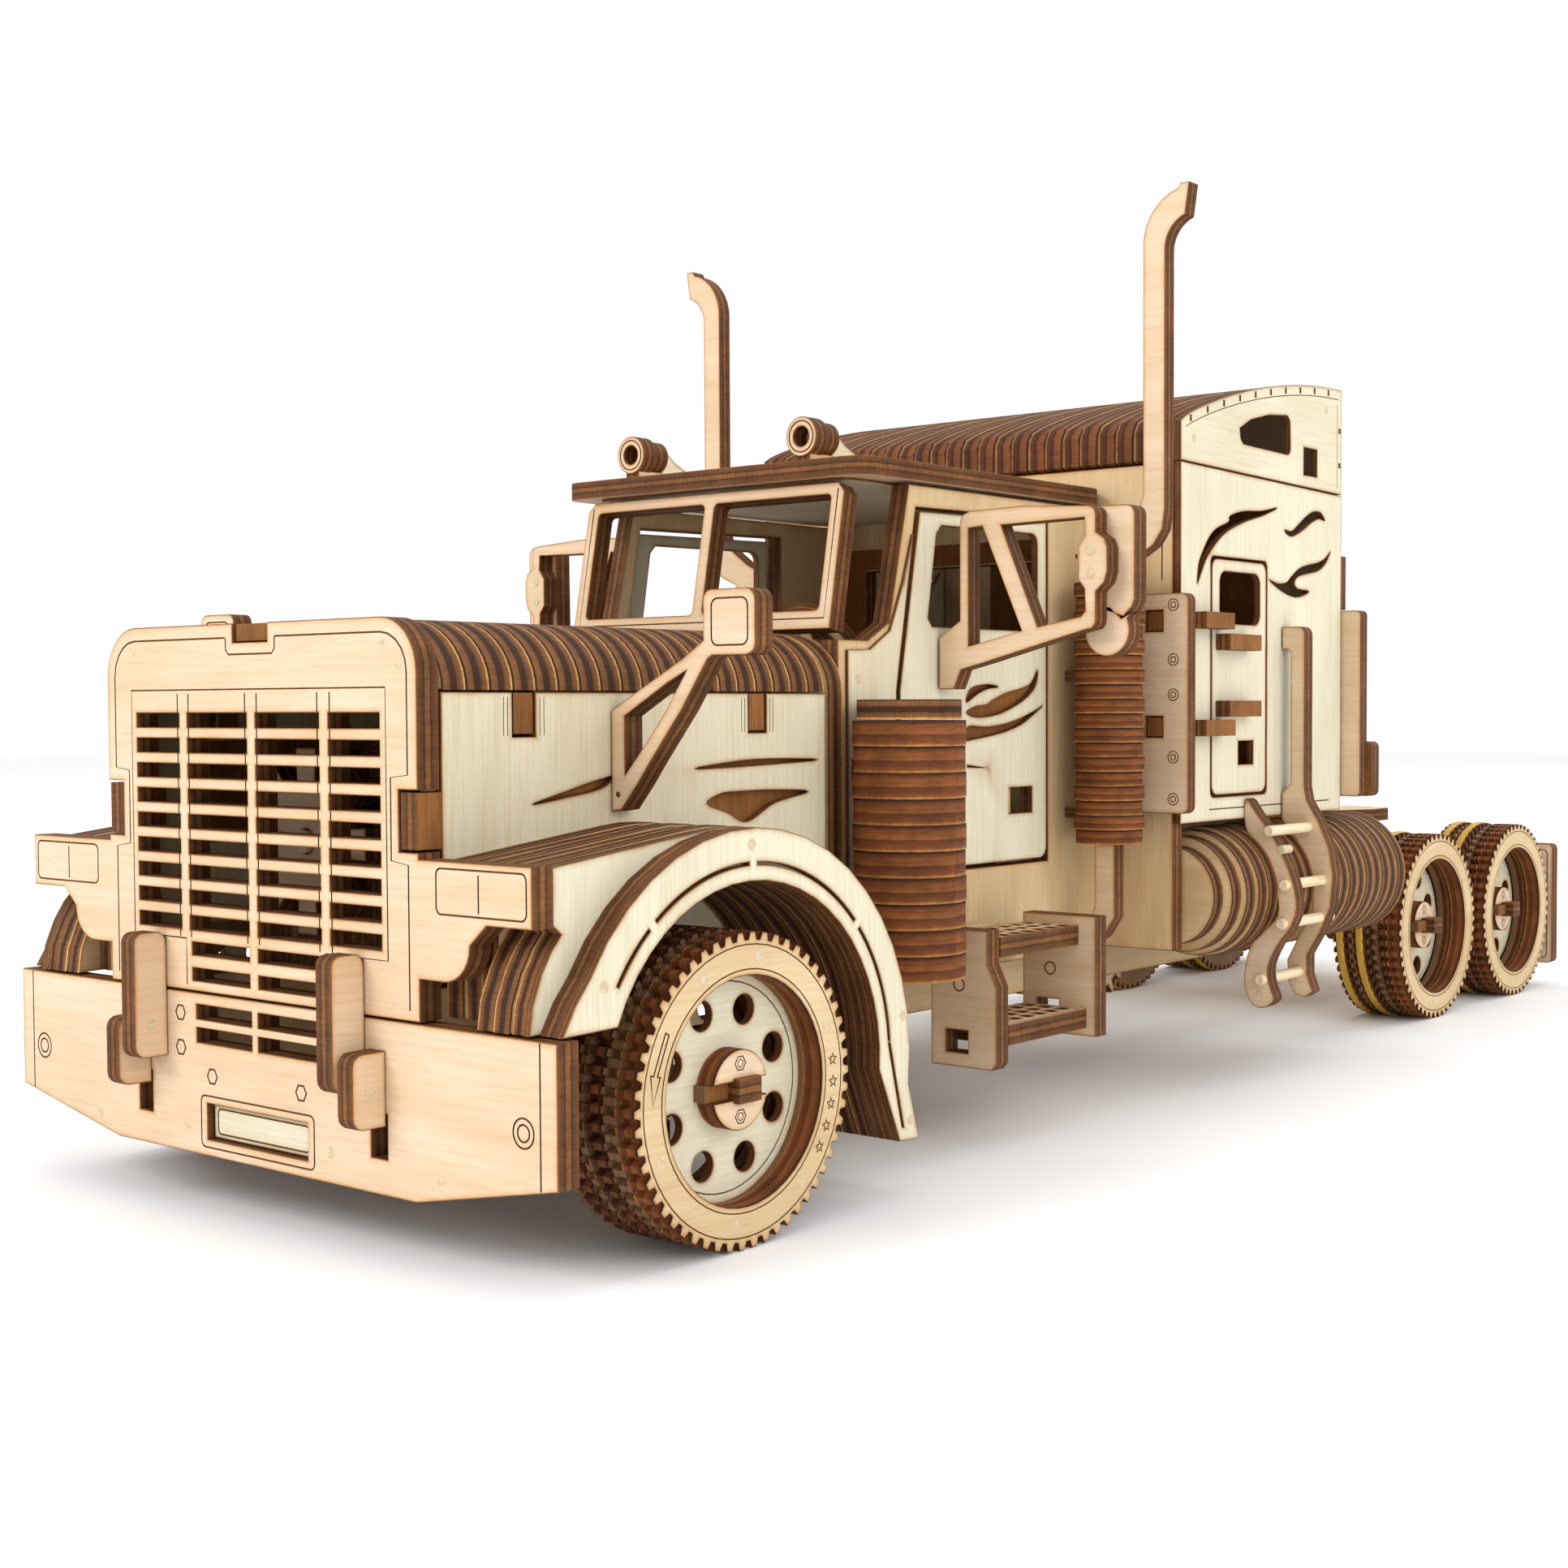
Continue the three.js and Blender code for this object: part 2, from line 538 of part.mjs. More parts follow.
function tankStep(s) {
  const first = [[57.4, 54], [57.4, 61], [60.2, 57.5], [66, 50], [69.8, 41], [69.8, 35], [66, 30],
    [63.2, 24.6], [64.4, 17.6], [62, 15.6], [59.4, 16], [57.2, 20.8], [59, 29.8], [66.4, 36], [66.4, 40],
    [62.6, 48]];
  const second = [[57.4, 57], [57.4, 98.4], [61, 98.4], [61.2, 62], [69, 50], [69.9, 40], [67, 31.6],
    [63.2, 25], [65, 17.4], [61, 16.4], [58.4, 24.6], [66.2, 36], [66.4, 42], [63, 48]];
  const place = (points) => (s > 0 ? points : mirrored(points));
  const plates = [plateY(place(first), 211, 215), plateY(place(second), 228, 232)];
  const rungs = [[64.2, 53], [68, 42.4], [67, 33.4], [61.6, 21.8]].map(([x, z]) => (
    plateY(ring(s * x, z, 1.2, 8), 212, 231)));
  return union([...plates, ...rungs]);
}

// ---- assembly ----
add('front_panel', frontPanel(), BIRCH);
add('bumper', bumper(), BIRCH);
addPair('hood_side', hoodSide, PALE);
add('hood', hood(), CHAR);
addPair('hood_mirror', hoodMirror, BIRCH);
addPair('front_fender', fender, CHAR);
add('engine', engine(), TAN);
addPair('frame_rail', rail, TAN);
add('front_crossmember', frontCrossmember(), TAN);
add('fifth_wheel_base', fifthWheelBase(), TAN);
add('fifth_wheel', fifthWheel(), BIRCH);
add('rear_bar', rearBar(), TAN);
add('front_axle', frontAxle(), TAN);
addPair('steering_knuckle', knuckle, TAN);
addPair('front_wheel', frontWheel, BIRCH);
add('rear_axle_1', rearAxle(REAR_AXLES[0]), TAN);
add('rear_axle_2', rearAxle(REAR_AXLES[1]), TAN);
addPair('dual_wheel_1', (s) => dual(REAR_AXLES[0], s), BIRCH);
addPair('dual_wheel_2', (s) => dual(REAR_AXLES[1], s), BIRCH);
add('motor_gear', gear(MOTOR_Y, 14.6, 17.2, 24, 0), DARK);
add('idler_gear', gear(IDLER_Y, 9.1, 11.7, 16, 0.5), DARK);
add('cab_floor', cabFloor(), TAN);
add('cowl', cowl(), TAN);
add('windshield_frame', windshield(), BIRCH);
addPair('cab_side', cabSide, TAN);
addPair('door', door, PALE);
addPair('door_mirror', doorMirror, BIRCH);
add('cab_roof', cabRoof(), CHAR);
addPair('horn', horn, BIRCH);
add('seats', seats(), TAN);
add('steering_wheel', steeringWheel(), BIRCH);
add('sleeper_front', sleeperFront(), TAN);
addPair('sleeper_side', sleeperSide, PALE);
addPair('locker_door', lockerDoor, PALE);
add('sleeper_rear', sleeperRear(), TAN);
add('sleeper_roof', sleeperRoof(), CHAR);
addPair('air_cleaner', airCleaner, CHAR);
addPair('exhaust', exhaust, BIRCH);
addPair('cab_step', cabStep, BIRCH);
addPair('fuel_tank', fuelTank, CHAR);
addPair('tank_step', tankStep, BIRCH);

const group = new THREE.Group();
group.add(truck);

export default group;
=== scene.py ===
import json
import math
import random
import bpy
import numpy as np
from mathutils import Matrix, Vector
from mathutils.geometry import delaunay_2d_cdt

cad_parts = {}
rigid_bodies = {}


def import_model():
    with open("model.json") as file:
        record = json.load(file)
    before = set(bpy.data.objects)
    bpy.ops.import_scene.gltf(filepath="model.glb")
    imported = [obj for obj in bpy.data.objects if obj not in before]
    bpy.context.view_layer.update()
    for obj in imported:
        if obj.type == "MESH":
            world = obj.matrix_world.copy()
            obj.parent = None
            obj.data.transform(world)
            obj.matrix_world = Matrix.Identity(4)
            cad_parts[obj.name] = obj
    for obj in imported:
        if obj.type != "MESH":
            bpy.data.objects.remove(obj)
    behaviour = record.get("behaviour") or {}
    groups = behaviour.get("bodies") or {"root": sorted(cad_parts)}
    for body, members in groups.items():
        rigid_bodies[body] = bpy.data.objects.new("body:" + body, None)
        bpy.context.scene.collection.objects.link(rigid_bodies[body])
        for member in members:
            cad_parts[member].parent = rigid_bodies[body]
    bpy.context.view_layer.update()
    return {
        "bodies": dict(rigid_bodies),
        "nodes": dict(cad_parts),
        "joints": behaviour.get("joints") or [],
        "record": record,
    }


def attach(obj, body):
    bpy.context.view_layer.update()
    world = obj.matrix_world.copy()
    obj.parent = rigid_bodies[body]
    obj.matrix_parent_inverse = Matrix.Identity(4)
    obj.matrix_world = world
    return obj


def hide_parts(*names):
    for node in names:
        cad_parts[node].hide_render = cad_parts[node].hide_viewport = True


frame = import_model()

MM = 0.001
MID = (403 - 6) / 2            # the frame's origin, from the grille's front face
PLY = 4.0
SKIN = 1.5
BEVEL = 0.09                   # tiny worn corner of every cut edge
BURN = 1.1                     # width of the scorched rim beside a cut
ENGRAVE = 0.22                 # depth of an engraved line
LINE = 0.3                     # width of an engraved line
FINE = 0.22                    # width of a thin engraved line
PIN = 0.95                     # radius of the round wooden pins that lock the sheets

HOOD_HALF = 39.6
HOOD_TOP = 94.2
HOOD_EDGE = 83.6
HOOD_BACK = 90.4
BUMPER_HALF = 68.0
BUMPER_TOP = 35.8
CAB_HALF = 38.0
CAB_BACK = 183.4
CAB_TOP = 122.3
ROOF_HALF = 39.4
SLEEPER_HALF = 57.0
SLEEPER_FRONT = 184.0
SLEEPER_BACK = 258.0
SLEEPER_IN = SLEEPER_HALF - SKIN - 0.3
SIDE_BOTTOM = 56.5
RAIL_TOP = 38.0
DECK = RAIL_TOP + 0.3
TYRE_R = 23.8
FRONT_AXLE = 38.5
REAR_AXLES = (319.5, 373.0)
GEAR_Z = 29.0
MOTOR_Y = 215.2
IDLER_Y = MOTOR_Y - 26.67

# Each side's name, and whether it is built as the mirror of the left one.
SIDES = (("left", False), ("right", True))

# Each axis carries (u, v, w) to (x, y, z); w is the sheet's thickness direction.
AXES = {
    "X": Matrix(((0, 0, 1), (1, 0, 0), (0, 1, 0))),
    "Y": Matrix(((1, 0, 0), (0, 0, -1), (0, 1, 0))),
    "Z": Matrix.Identity(3),
}


# ---- outlines ----
def rect(u0, v0, u1, v1):
    return [(u0, v0), (u1, v0), (u1, v1), (u0, v1)]


def arc(u, v, r, start, end, steps):
    angles = [math.radians(start + (end - start) * i / steps) for i in range(steps + 1)]
    return [(u + r * math.cos(a), v + r * math.sin(a)) for a in angles]


def ring(u, v, r, sides=40, turn=0.0):
    return arc(u, v, r, turn, turn + 360, sides)[:-1]


def round_rect(u0, v0, u1, v1, r, steps=5):
    corners = [(u1 - r, v0 + r, -90), (u1 - r, v1 - r, 0), (u0 + r, v1 - r, 90), (u0 + r, v0 + r, 180)]
    return [p for u, v, start in corners for p in arc(u, v, r, start, start + 90, steps)]


def mirrored(points):
    return [(-u, v) for u, v in reversed(points)]


def both(points):
    """A symmetric outline from its right half."""
    return list(points) + mirrored(points)


def span(side, a, b):
    """The two distances on one side of the middle, lower first."""
    return sorted((side * a, side * b))


def toothed(u, v, root, tip, teeth, turn=0.0, wide=0.27, narrow=0.15):
    """A toothed ring; wide and narrow are half a tooth's width at root and tip, as shares of the pitch."""
    points = []
    for i in range(teeth):
        for share, r in ((-wide, root), (-narrow, tip), (narrow, tip), (wide, root)):
            a = (i + share) / teeth * math.tau + turn
            points.append((u + r * math.cos(a), v + r * math.sin(a)))
    return points


def curve(points, steps=6, closed=True):
    """A smooth Catmull-Rom line through the points."""
    n = len(points)
    out = []
    spans = n if closed else n - 1
    for i in range(spans):
        p = [points[(i + k) % n] if closed else points[min(max(i + k, 0), n - 1)] for k in (-1, 0, 1, 2)]
        for s in range(steps):
            t = s / steps
            out.append(tuple(0.5 * (2 * p[1][c] + (p[2][c] - p[0][c]) * t
                             + (2 * p[0][c] - 5 * p[1][c] + 4 * p[2][c] - p[3][c]) * t * t
                             + (3 * p[1][c] - p[0][c] - 3 * p[2][c] + p[3][c]) * t ** 3) for c in (0, 1)))
    return out if closed else out + [points[-1]]


def area(loop):
    return sum(a[0] * b[1] - b[0] * a[1] for a, b in zip(loop, loop[1:] + loop[:1])) / 2


def clean(loop):
    """The loop without repeated points."""
    out = [p for i, p in enumerate(loop) if math.dist(p, loop[i - 1]) > 1e-3]
    return [(float(u), float(v)) for u, v in out]


def moved_in(loop, distance):
    """The loop moved to its left by a distance, corner by corner."""
    out = []
    n = len(loop)
    for i in range(n):
        a, b, c = Vector(loop[i - 1]), Vector(loop[i]), Vector(loop[(i + 1) % n])
        d1, d2 = (b - a).normalized(), (c - b).normalized()
        n1, n2 = Vector((-d1.y, d1.x)), Vector((-d2.y, d2.x))
        k = max(1 + n1.dot(n2), 0.5)
        p = b + (n1 + n2) * (distance / k)
        out.append((p.x, p.y))
    return out


def inside(points, loops):
    """For each point, whether it is inside an odd number of the loops."""
    odd = np.zeros(len(points), bool)
    x, y = points[:, 0], points[:, 1]
    for loop in loops:
        p = np.array(loop)
        q = np.roll(p, -1, axis=0)
        for (x0, y0), (x1, y1) in zip(p, q):
            if y0 == y1:
                continue
            hit = ((y0 > y) != (y1 > y)) & (x < (x1 - x0) * (y - y0) / (y1 - y0) + x0)
            odd ^= hit
    return odd


def edge_distance(points, loops):
    """For each point, how far it is from the nearest loop."""
    best = np.full(len(points), 1e9)
    for loop in loops:
        p = np.array(loop)
        q = np.roll(p, -1, axis=0)
        for a, b in zip(p, q):
            d = b - a
            t = np.clip(((points - a) @ d) / max(d @ d, 1e-12), 0, 1)
            best = np.minimum(best, np.linalg.norm(points - a - t[:, None] * d, axis=1))
    return best


def stroke(points, width=LINE, closed=False):
    """The loops that bound an engraved line along the points."""
    half = width / 2
    if closed:
        loop = clean(points)
        return [moved_in(loop, half), moved_in(loop, -half)]
    there = [p for i, p in enumerate(points) if i == 0 or p != points[i - 1]]
    left, right = [], []
    for i, p in enumerate(there):
        a = Vector(there[max(i - 1, 0)])
        b = Vector(there[min(i + 1, len(there) - 1)])
        d = (b - a).normalized()
        left.append((p[0] - d.y * half, p[1] + d.x * half))
        right.append((p[0] + d.y * half, p[1] - d.x * half))
    return [left + right[::-1]]


def dot(u, v, r=0.5):
    return [ring(u, v, r, 10)]


# ---- pieces built up from sheets ----
class Piece:
    """One visible piece: a mesh of laser-cut sheets, rods and bands."""
    count = 0

    def __init__(self, name, body, mirror=False):
        Piece.count += 1
        self.name, self.body, self.mirror = name, body, mirror
        self.random = random.Random(Piece.count)
        self.verts, self.burn = [], []
        self.faces, self.slots, self.uvs, self.tones = [], [], [], []
        self.materials = []
        self.place = None

    def slot(self, material):
        if material not in self.materials:
            self.materials.append(material)
        return self.materials.index(material)

    def sheet(self, axis, outline, w0, w1, holes=(), lines=(), under=(), face="birch", edge="edge",
              line="line", grain="u", bevel=BEVEL, plain=False, tone=None):
        w0, w1 = min(w0, w1), max(w0, w1)
        loops = [clean(outline)] + [clean(h) for h in holes]
        loops = [loop if (area(loop) > 0) == (i == 0) else loop[::-1] for i, loop in enumerate(loops)]
        tone = self.random.random() if tone is None else tone
        shift = (self.random.random() * 40, self.random.random() * 40)
        index = {}

        def vert(u, v, w, burn):
            key = (round(u, 4), round(v, 4), round(w, 4))
            if key not in index:
                p = AXES[axis] @ Vector((u, v, w))
                if self.place is not None:
                    p = self.place @ p
                index[key] = len(self.verts)
                self.verts.append(((-p.x if self.mirror else p.x) * MM, (p.y - MID) * MM, p.z * MM))
                self.burn.append(burn)
            return index[key]

        def add(corners, uv, material):
            if self.mirror:
                corners, uv = corners[::-1], uv[::-1]
            if len(set(corners)) < 3:
                return
            self.faces.append(corners)
            self.uvs.append(uv)
            self.slots.append(self.slot(material))
            self.tones.append(tone)

        def flat_uv(points):
            pairs = [(u, v) if grain == "u" else (v, u) for u, v in points]
            return [(u * 0.1 + shift[0], v * 0.1 + shift[1]) for u, v in pairs]

        insets = [moved_in(loop, bevel) for loop in loops]
        rims = [] if plain else [moved_in(loop, BURN) for loop in loops]

        def cap(w, up, grooves):
            points, sides = [], []
            for loop in insets + rims + [g for groove in grooves for g in groove]:
                first = len(points)
                points += [Vector(p) for p in loop]
                sides += [(first + i, first + (i + 1) % len(loop)) for i in range(len(loop))]
            got = delaunay_2d_cdt(points, sides, [], 0, 1e-5)
            xy = np.array([(p.x, p.y) for p in got[0]])
            tris = [t for t in got[2] if len(t) == 3]
            centre = xy[np.array(tris)].mean(axis=1)
            solid = inside(centre, insets)
            cut = np.zeros(len(tris), bool)
            for groove in grooves:
                cut |= inside(centre, groove)
            heat = np.clip(1 - (edge_distance(xy, loops) - bevel) / (BURN - bevel), 0, 1)
            side_of = {}
            low = w - ENGRAVE * (1 if up else -1)
            for t, ok, deep in zip(tris, solid, cut):
                if not ok:
                    continue
                level = low if deep else w
                order = t if up else t[::-1]
                corners = [vert(xy[i][0], xy[i][1], level, heat[i]) for i in order]
                add(corners, flat_uv([tuple(xy[i]) for i in order]), line if deep else face)
                for i in range(3):
                    side_of[(t[i], t[(i + 1) % 3])] = deep
            for (a, b), deep in side_of.items():
                if not deep and side_of.get((b, a)) is True:
                    quad = [(a, low), (b, low), (b, w), (a, w)]
                    quad = quad if up else quad[::-1]
                    corners = [vert(xy[i][0], xy[i][1], z, 1) for i, z in quad]
                    add(corners, flat_uv([tuple(xy[i]) for i, z in quad]), line)

        cap(w1, True, lines)
        cap(w0, False, under)
        for loop, inset in zip(loops, insets):
            along = self.random.random() * 50
            for i in range(len(loop)):
                j = (i + 1) % len(loop)
                step = math.dist(loop[i], loop[j])
                rows = [(inset, w0, 0.0), (loop, w0 + bevel, 0.03), (loop, w1 - bevel, 0.97),
                        (inset, w1, 1.0)]
                for (la, wa, va), (lb, wb, vb) in zip(rows, rows[1:]):
                    corners = [vert(*la[i], wa, 1), vert(*la[j], wa, 1), vert(*lb[j], wb, 1),
                               vert(*lb[i], wb, 1)]
                    uv = [(along * 0.1, va), ((along + step) * 0.1, va), ((along + step) * 0.1, vb),
                          (along * 0.1, vb)]
                    add(corners, uv, edge)
                along += step
        return self

    def x(self, outline, x0, x1, **more):
        return self.sheet("X", outline, x0, x1, **more)

    def y(self, outline, y0, y1, **more):
        return self.sheet("Y", outline, -y1, -y0, **more)

    def z(self, outline, z0, z1, **more):
        return self.sheet("Z", outline, z0, z1, **more)

    def pins(self, axis, centres, w0, w1):
        """Wooden pins pushed through a sheet, their ends just proud of it."""
        for u, v in centres:
            self.rod(axis, u, v, PIN, w0 - 0.05, w1 + 0.05, material="pin", sides=14, bevel=0.06)

    def rod(self, axis, u, v, r, w0, w1, material="dowel", sides=16, bevel=0.2):
        low, high = (-max(w0, w1), -min(w0, w1)) if axis == "Y" else (w0, w1)
        return self.sheet(axis, ring(u, v, r, sides), low, high, face=material, edge=material, bevel=bevel,
                          plain=True)

    def done(self, *replaced, slot="ply"):
        mesh = bpy.data.meshes.new(self.name)
        mesh.from_pydata(self.verts, [], self.faces)
        layer = mesh.uv_layers.new(name="ply")
        flat = [c for uv in self.uvs for pair in uv for c in pair]
        layer.data.foreach_set("uv", flat)
        mesh.attributes.new("burn", "FLOAT", "POINT").data.foreach_set("value", self.burn)
        mesh.attributes.new("tone", "FLOAT", "FACE").data.foreach_set("value", self.tones)
        for name in self.materials:
            mesh.materials.append(MATERIALS[name])
        mesh.polygons.foreach_set("material_index", self.slots)
        mesh.polygons.foreach_set("use_smooth", [True] * len(self.faces))
        mesh.update()
        mesh.set_sharp_from_angle(angle=math.radians(32))
        piece = bpy.data.objects.new(self.name, mesh)
        bpy.context.scene.collection.objects.link(piece)
        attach(piece, self.body)
        if replaced:
            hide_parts(*replaced)
        return piece


# ---- materials ----
class Nodes:
    """A small helper that wires up one material."""

    def __init__(self, name, roughness, specular=0.25):
        self.material = bpy.data.materials.new(name)
        self.material.use_nodes = True
        self.tree = self.material.node_tree
        self.shader = self.tree.nodes["Principled BSDF"]
        self.shader.inputs["Roughness"].default_value = roughness
        self.shader.inputs["Specular IOR Level"].default_value = specular

    def node(self, kind, **values):
        made = self.tree.nodes.new(kind)
        for key, value in values.items():
            setattr(made, key, value)
        return made

    def link(self, a, b):
        self.tree.links.new(a, b)

    def uv(self, scale):
        source = self.node("ShaderNodeUVMap", uv_map="ply")
        mapping = self.node("ShaderNodeMapping")
        mapping.inputs["Scale"].default_value = (*scale, 1)
        self.link(source.outputs[0], mapping.inputs["Vector"])
        return mapping.outputs[0]

    def noise(self, scale, detail=4, rough=0.6, distortion=0.0):
        made = self.node("ShaderNodeTexNoise")
        made.inputs["Scale"].default_value = 1
        made.inputs["Detail"].default_value = detail
        made.inputs["Roughness"].default_value = rough
        made.inputs["Distortion"].default_value = distortion
        self.link(self.uv(scale), made.inputs["Vector"])
        return made.outputs["Fac"]

    def ramp(self, value, stops):
        made = self.node("ShaderNodeValToRGB")
        elements = made.color_ramp.elements
        while len(elements) < len(stops):
            elements.new(0.5)
        for element, (at, color) in zip(elements, stops):
            element.position = at
            element.color = (*color, 1)
        self.link(value, made.inputs["Fac"])
        return made.outputs["Color"]

    def attribute(self, name):
        return self.node("ShaderNodeAttribute", attribute_name=name).outputs["Fac"]

    def math(self, operation, a, b):
        made = self.node("ShaderNodeMath", operation=operation)
        for socket, value in zip(made.inputs, (a, b)):
            if isinstance(value, (int, float)):
                socket.default_value = value
            else:
                self.link(value, socket)
        return made.outputs[0]

    def mix(self, factor, a, b, mode="MIX"):
        made = self.node("ShaderNodeMix", data_type="RGBA", blend_type=mode)
        for socket, value in zip((made.inputs[0], made.inputs[6], made.inputs[7]), (factor, a, b)):
            if isinstance(value, (int, float)):
                socket.default_value = value
            elif isinstance(value, tuple):
                socket.default_value = (*value, 1)
            else:
                self.link(value, socket)
        return made.outputs[2]

    def bump(self, height, strength, distance=0.0001):
        made = self.node("ShaderNodeBump")
        made.inputs["Strength"].default_value = strength
        made.inputs["Distance"].default_value = distance
        self.link(height, made.inputs["Height"])
        self.link(made.outputs[0], self.shader.inputs["Normal"])

    def color(self, socket):
        self.link(socket, self.shader.inputs["Base Color"])


def rgb(text):
    """The linear colour of a hex triplet."""
    parts = [int(text[i:i + 2], 16) / 255 for i in (0, 2, 4)]
    return tuple(c / 12.92 if c <= 0.04045 else ((c + 0.055) / 1.055) ** 2.4 for c in parts)


def wood_face(name, light, dark, amber, fleck=0.5):
    """A sanded veneer face: grain lines along u, soft clouds, and a scorched rim beside each cut."""
    n = Nodes(name, 0.58, 0.35)
    clouds = n.noise((0.25, 0.9), 3, 0.5, 0.6)
    grain = n.noise((0.5, 14), 5, 0.65, 0.25)
    fibre = n.noise((3.0, 70), 3, 0.7)
    base = n.ramp(clouds, [(0.3, light), (0.7, dark)])
    lines = n.ramp(grain, [(0.42, (1, 1, 1)), (0.6, (0.88, 0.82, 0.73)), (0.72, (0.74, 0.64, 0.5))])
    color = n.mix(fleck, base, lines, "MULTIPLY")
    fine = n.ramp(fibre, [(0.35, (1, 1, 1)), (0.75, (0.86, 0.8, 0.72))])
    color = n.mix(0.45, color, fine, "MULTIPLY")
    tone = n.ramp(n.attribute("tone"), [(0.0, (1.0, 1.0, 1.0)), (1.0, (0.93, 0.885, 0.8))])
    color = n.mix(0.8, color, tone, "MULTIPLY")
    heat = n.attribute("burn")
    smoke = n.ramp(n.noise((1.2, 1.2), 3, 0.7), [(0.35, (0.3,) * 3), (0.68, (1.0,) * 3)])
    glow = n.math("MULTIPLY", n.math("POWER", heat, 1.5), smoke)
    color = n.mix(n.math("MULTIPLY", glow, 0.9), color, amber)
    color = n.mix(n.math("MULTIPLY", n.math("POWER", heat, 9.0), 0.8), color, rgb("4A2A12"))
    n.color(color)
    n.bump(n.math("ADD", grain, n.math("MULTIPLY", fibre, 0.6)), 0.35)
    return n.material


def cut_edge(name, stops, soot=0.8, streaks=(26, 1.0)):
    """A laser-cut sheet edge: its plies from one face to the other, with fine burnt streaks across them."""
    n = Nodes(name, 0.75, 0.25)
    source = n.node("ShaderNodeUVMap", uv_map="ply")
    split = n.node("ShaderNodeSeparateXYZ")
    n.link(source.outputs[0], split.inputs[0])
    wobble = n.math("MULTIPLY", n.math("SUBTRACT", n.noise((7, 1.2), 3), 0.5), 0.1)
    depth = n.math("ADD", split.outputs[1], wobble)
    plies = n.ramp(depth, stops)
    streak = n.noise(streaks, 5, 0.75)
    marks = n.ramp(streak, [(0.3, (0.5, 0.45, 0.4)), (0.52, (1, 1, 1)), (0.8, (1.5, 1.35, 1.15))])
    color = n.mix(0.8, plies, marks, "MULTIPLY")
    patches = n.ramp(n.noise((1.1, 0.5), 3, 0.6), [(0.35, (0.62, 0.58, 0.54)), (0.7, (1.25, 1.2, 1.12))])
    n.color(n.mix(soot, color, patches, "MULTIPLY"))
    n.bump(n.math("ADD", streak, n.math("MULTIPLY", plies, 0.6)), 0.5)
    return n.material


def charred_line(name, dark, brown):
    n = Nodes(name, 0.9, 0.1)
    n.color(n.ramp(n.noise((8, 8), 3, 0.7), [(0.3, dark), (0.7, brown)]))
    n.bump(n.noise((20, 20), 2), 0.3)
    return n.material


def dowel_wood(name):
    n = Nodes(name, 0.55, 0.3)
    n.color(n.ramp(n.noise((12, 2), 4, 0.6), [(0.3, rgb("F2E3C4")), (0.7, rgb("D8BC8C"))]))
    n.bump(n.noise((30, 2), 3), 0.25)
    return n.material


def band_rubber(name):
    n = Nodes(name, 0.5, 0.4)
    n.color(n.ramp(n.noise((2, 2), 3, 0.6), [(0.3, rgb("D9A83C")), (0.7, rgb("B9852A"))]))
    n.shader.inputs["Subsurface Weight"].default_value = 0.15
    n.bump(n.noise((10, 3), 3), 0.2)
    return n.material


def pin_end(name):
    """Sawn end grain of a toothpick-thin dowel."""
    n = Nodes(name, 0.7, 0.2)
    n.color(n.ramp(n.noise((14, 14), 4, 0.7), [(0.3, rgb("B8A080")), (0.7, rgb("E2D2B0"))]))
    n.bump(n.noise((40, 40), 2), 0.3)
    return n.material


def plies(text):
    """Colour stops through a sheet's thickness, from words like 0.3:5C3A20."""
    stops = (word.split(":") for word in text.split())
    return [(float(at), rgb(color)) for at, color in stops]


SHEET_PLIES = plies("0:8A5A2C 0.05:6E4524 0.3:5C3A20 0.36:3A2212 0.42:80542C "
                    "0.6:80542C 0.66:3A2212 0.72:5C3A20 0.94:6E4524 1:8A5A2C")
STACK_PLIES = plies("0:E0BE88 0.07:C39356 0.12:7E522A 0.32:6A4322 0.38:3C2413 "
                    "0.62:3A2212 0.68:74492A 0.9:80552C 0.95:3A2212 1:2C180C")
ROUND_PLIES = plies("0:D9A868 0.06:A86C34 0.14:7C4620 0.45:5E3216 "
                    "0.5:8C5528 0.8:7A4521 0.93:4A2711 1:34190A")
RIB_PLIES = plies("0:D2A670 0.06:9A6A3A 0.1:5A3218 0.36:4A2612 0.42:2C160A "
                  "0.5:6E4020 0.84:7A4824 0.9:3A1E0E 1:28140A")

MATERIALS = {
    "birch": wood_face("birch_face", rgb("E6CEB4"), rgb("D8BC9A"), rgb("CE923E")),
    "pale": wood_face("pale_face", rgb("E6E1CB"), rgb("DAD4BA"), rgb("B98A4C"), 0.5),
    # A darker, more yellow copy of the birch face: painted shade, standing in for birch in shadow wherever
    # it is used (walls, floors, seats, stack faces, wheel faces).
    "birch_in_shade": wood_face("birch_in_shade_face", rgb("E2CBA4"), rgb("CDB084"), rgb("BE8438")),
    "edge": cut_edge("cut_edge", SHEET_PLIES),
    "stack": cut_edge("stack_edge", STACK_PLIES, 0.6),
    "round": cut_edge("round_edge", ROUND_PLIES, 0.9, (1.8, 9.0)),
    "rib": cut_edge("rib_edge", RIB_PLIES, 0.7),
    "line": charred_line("engraved_line", rgb("6E4020"), rgb("9A6A3C")),
    "pin": pin_end("pin_end"),
    "dowel": dowel_wood("dowel_wood"),
    "band": band_rubber("band_rubber"),
}


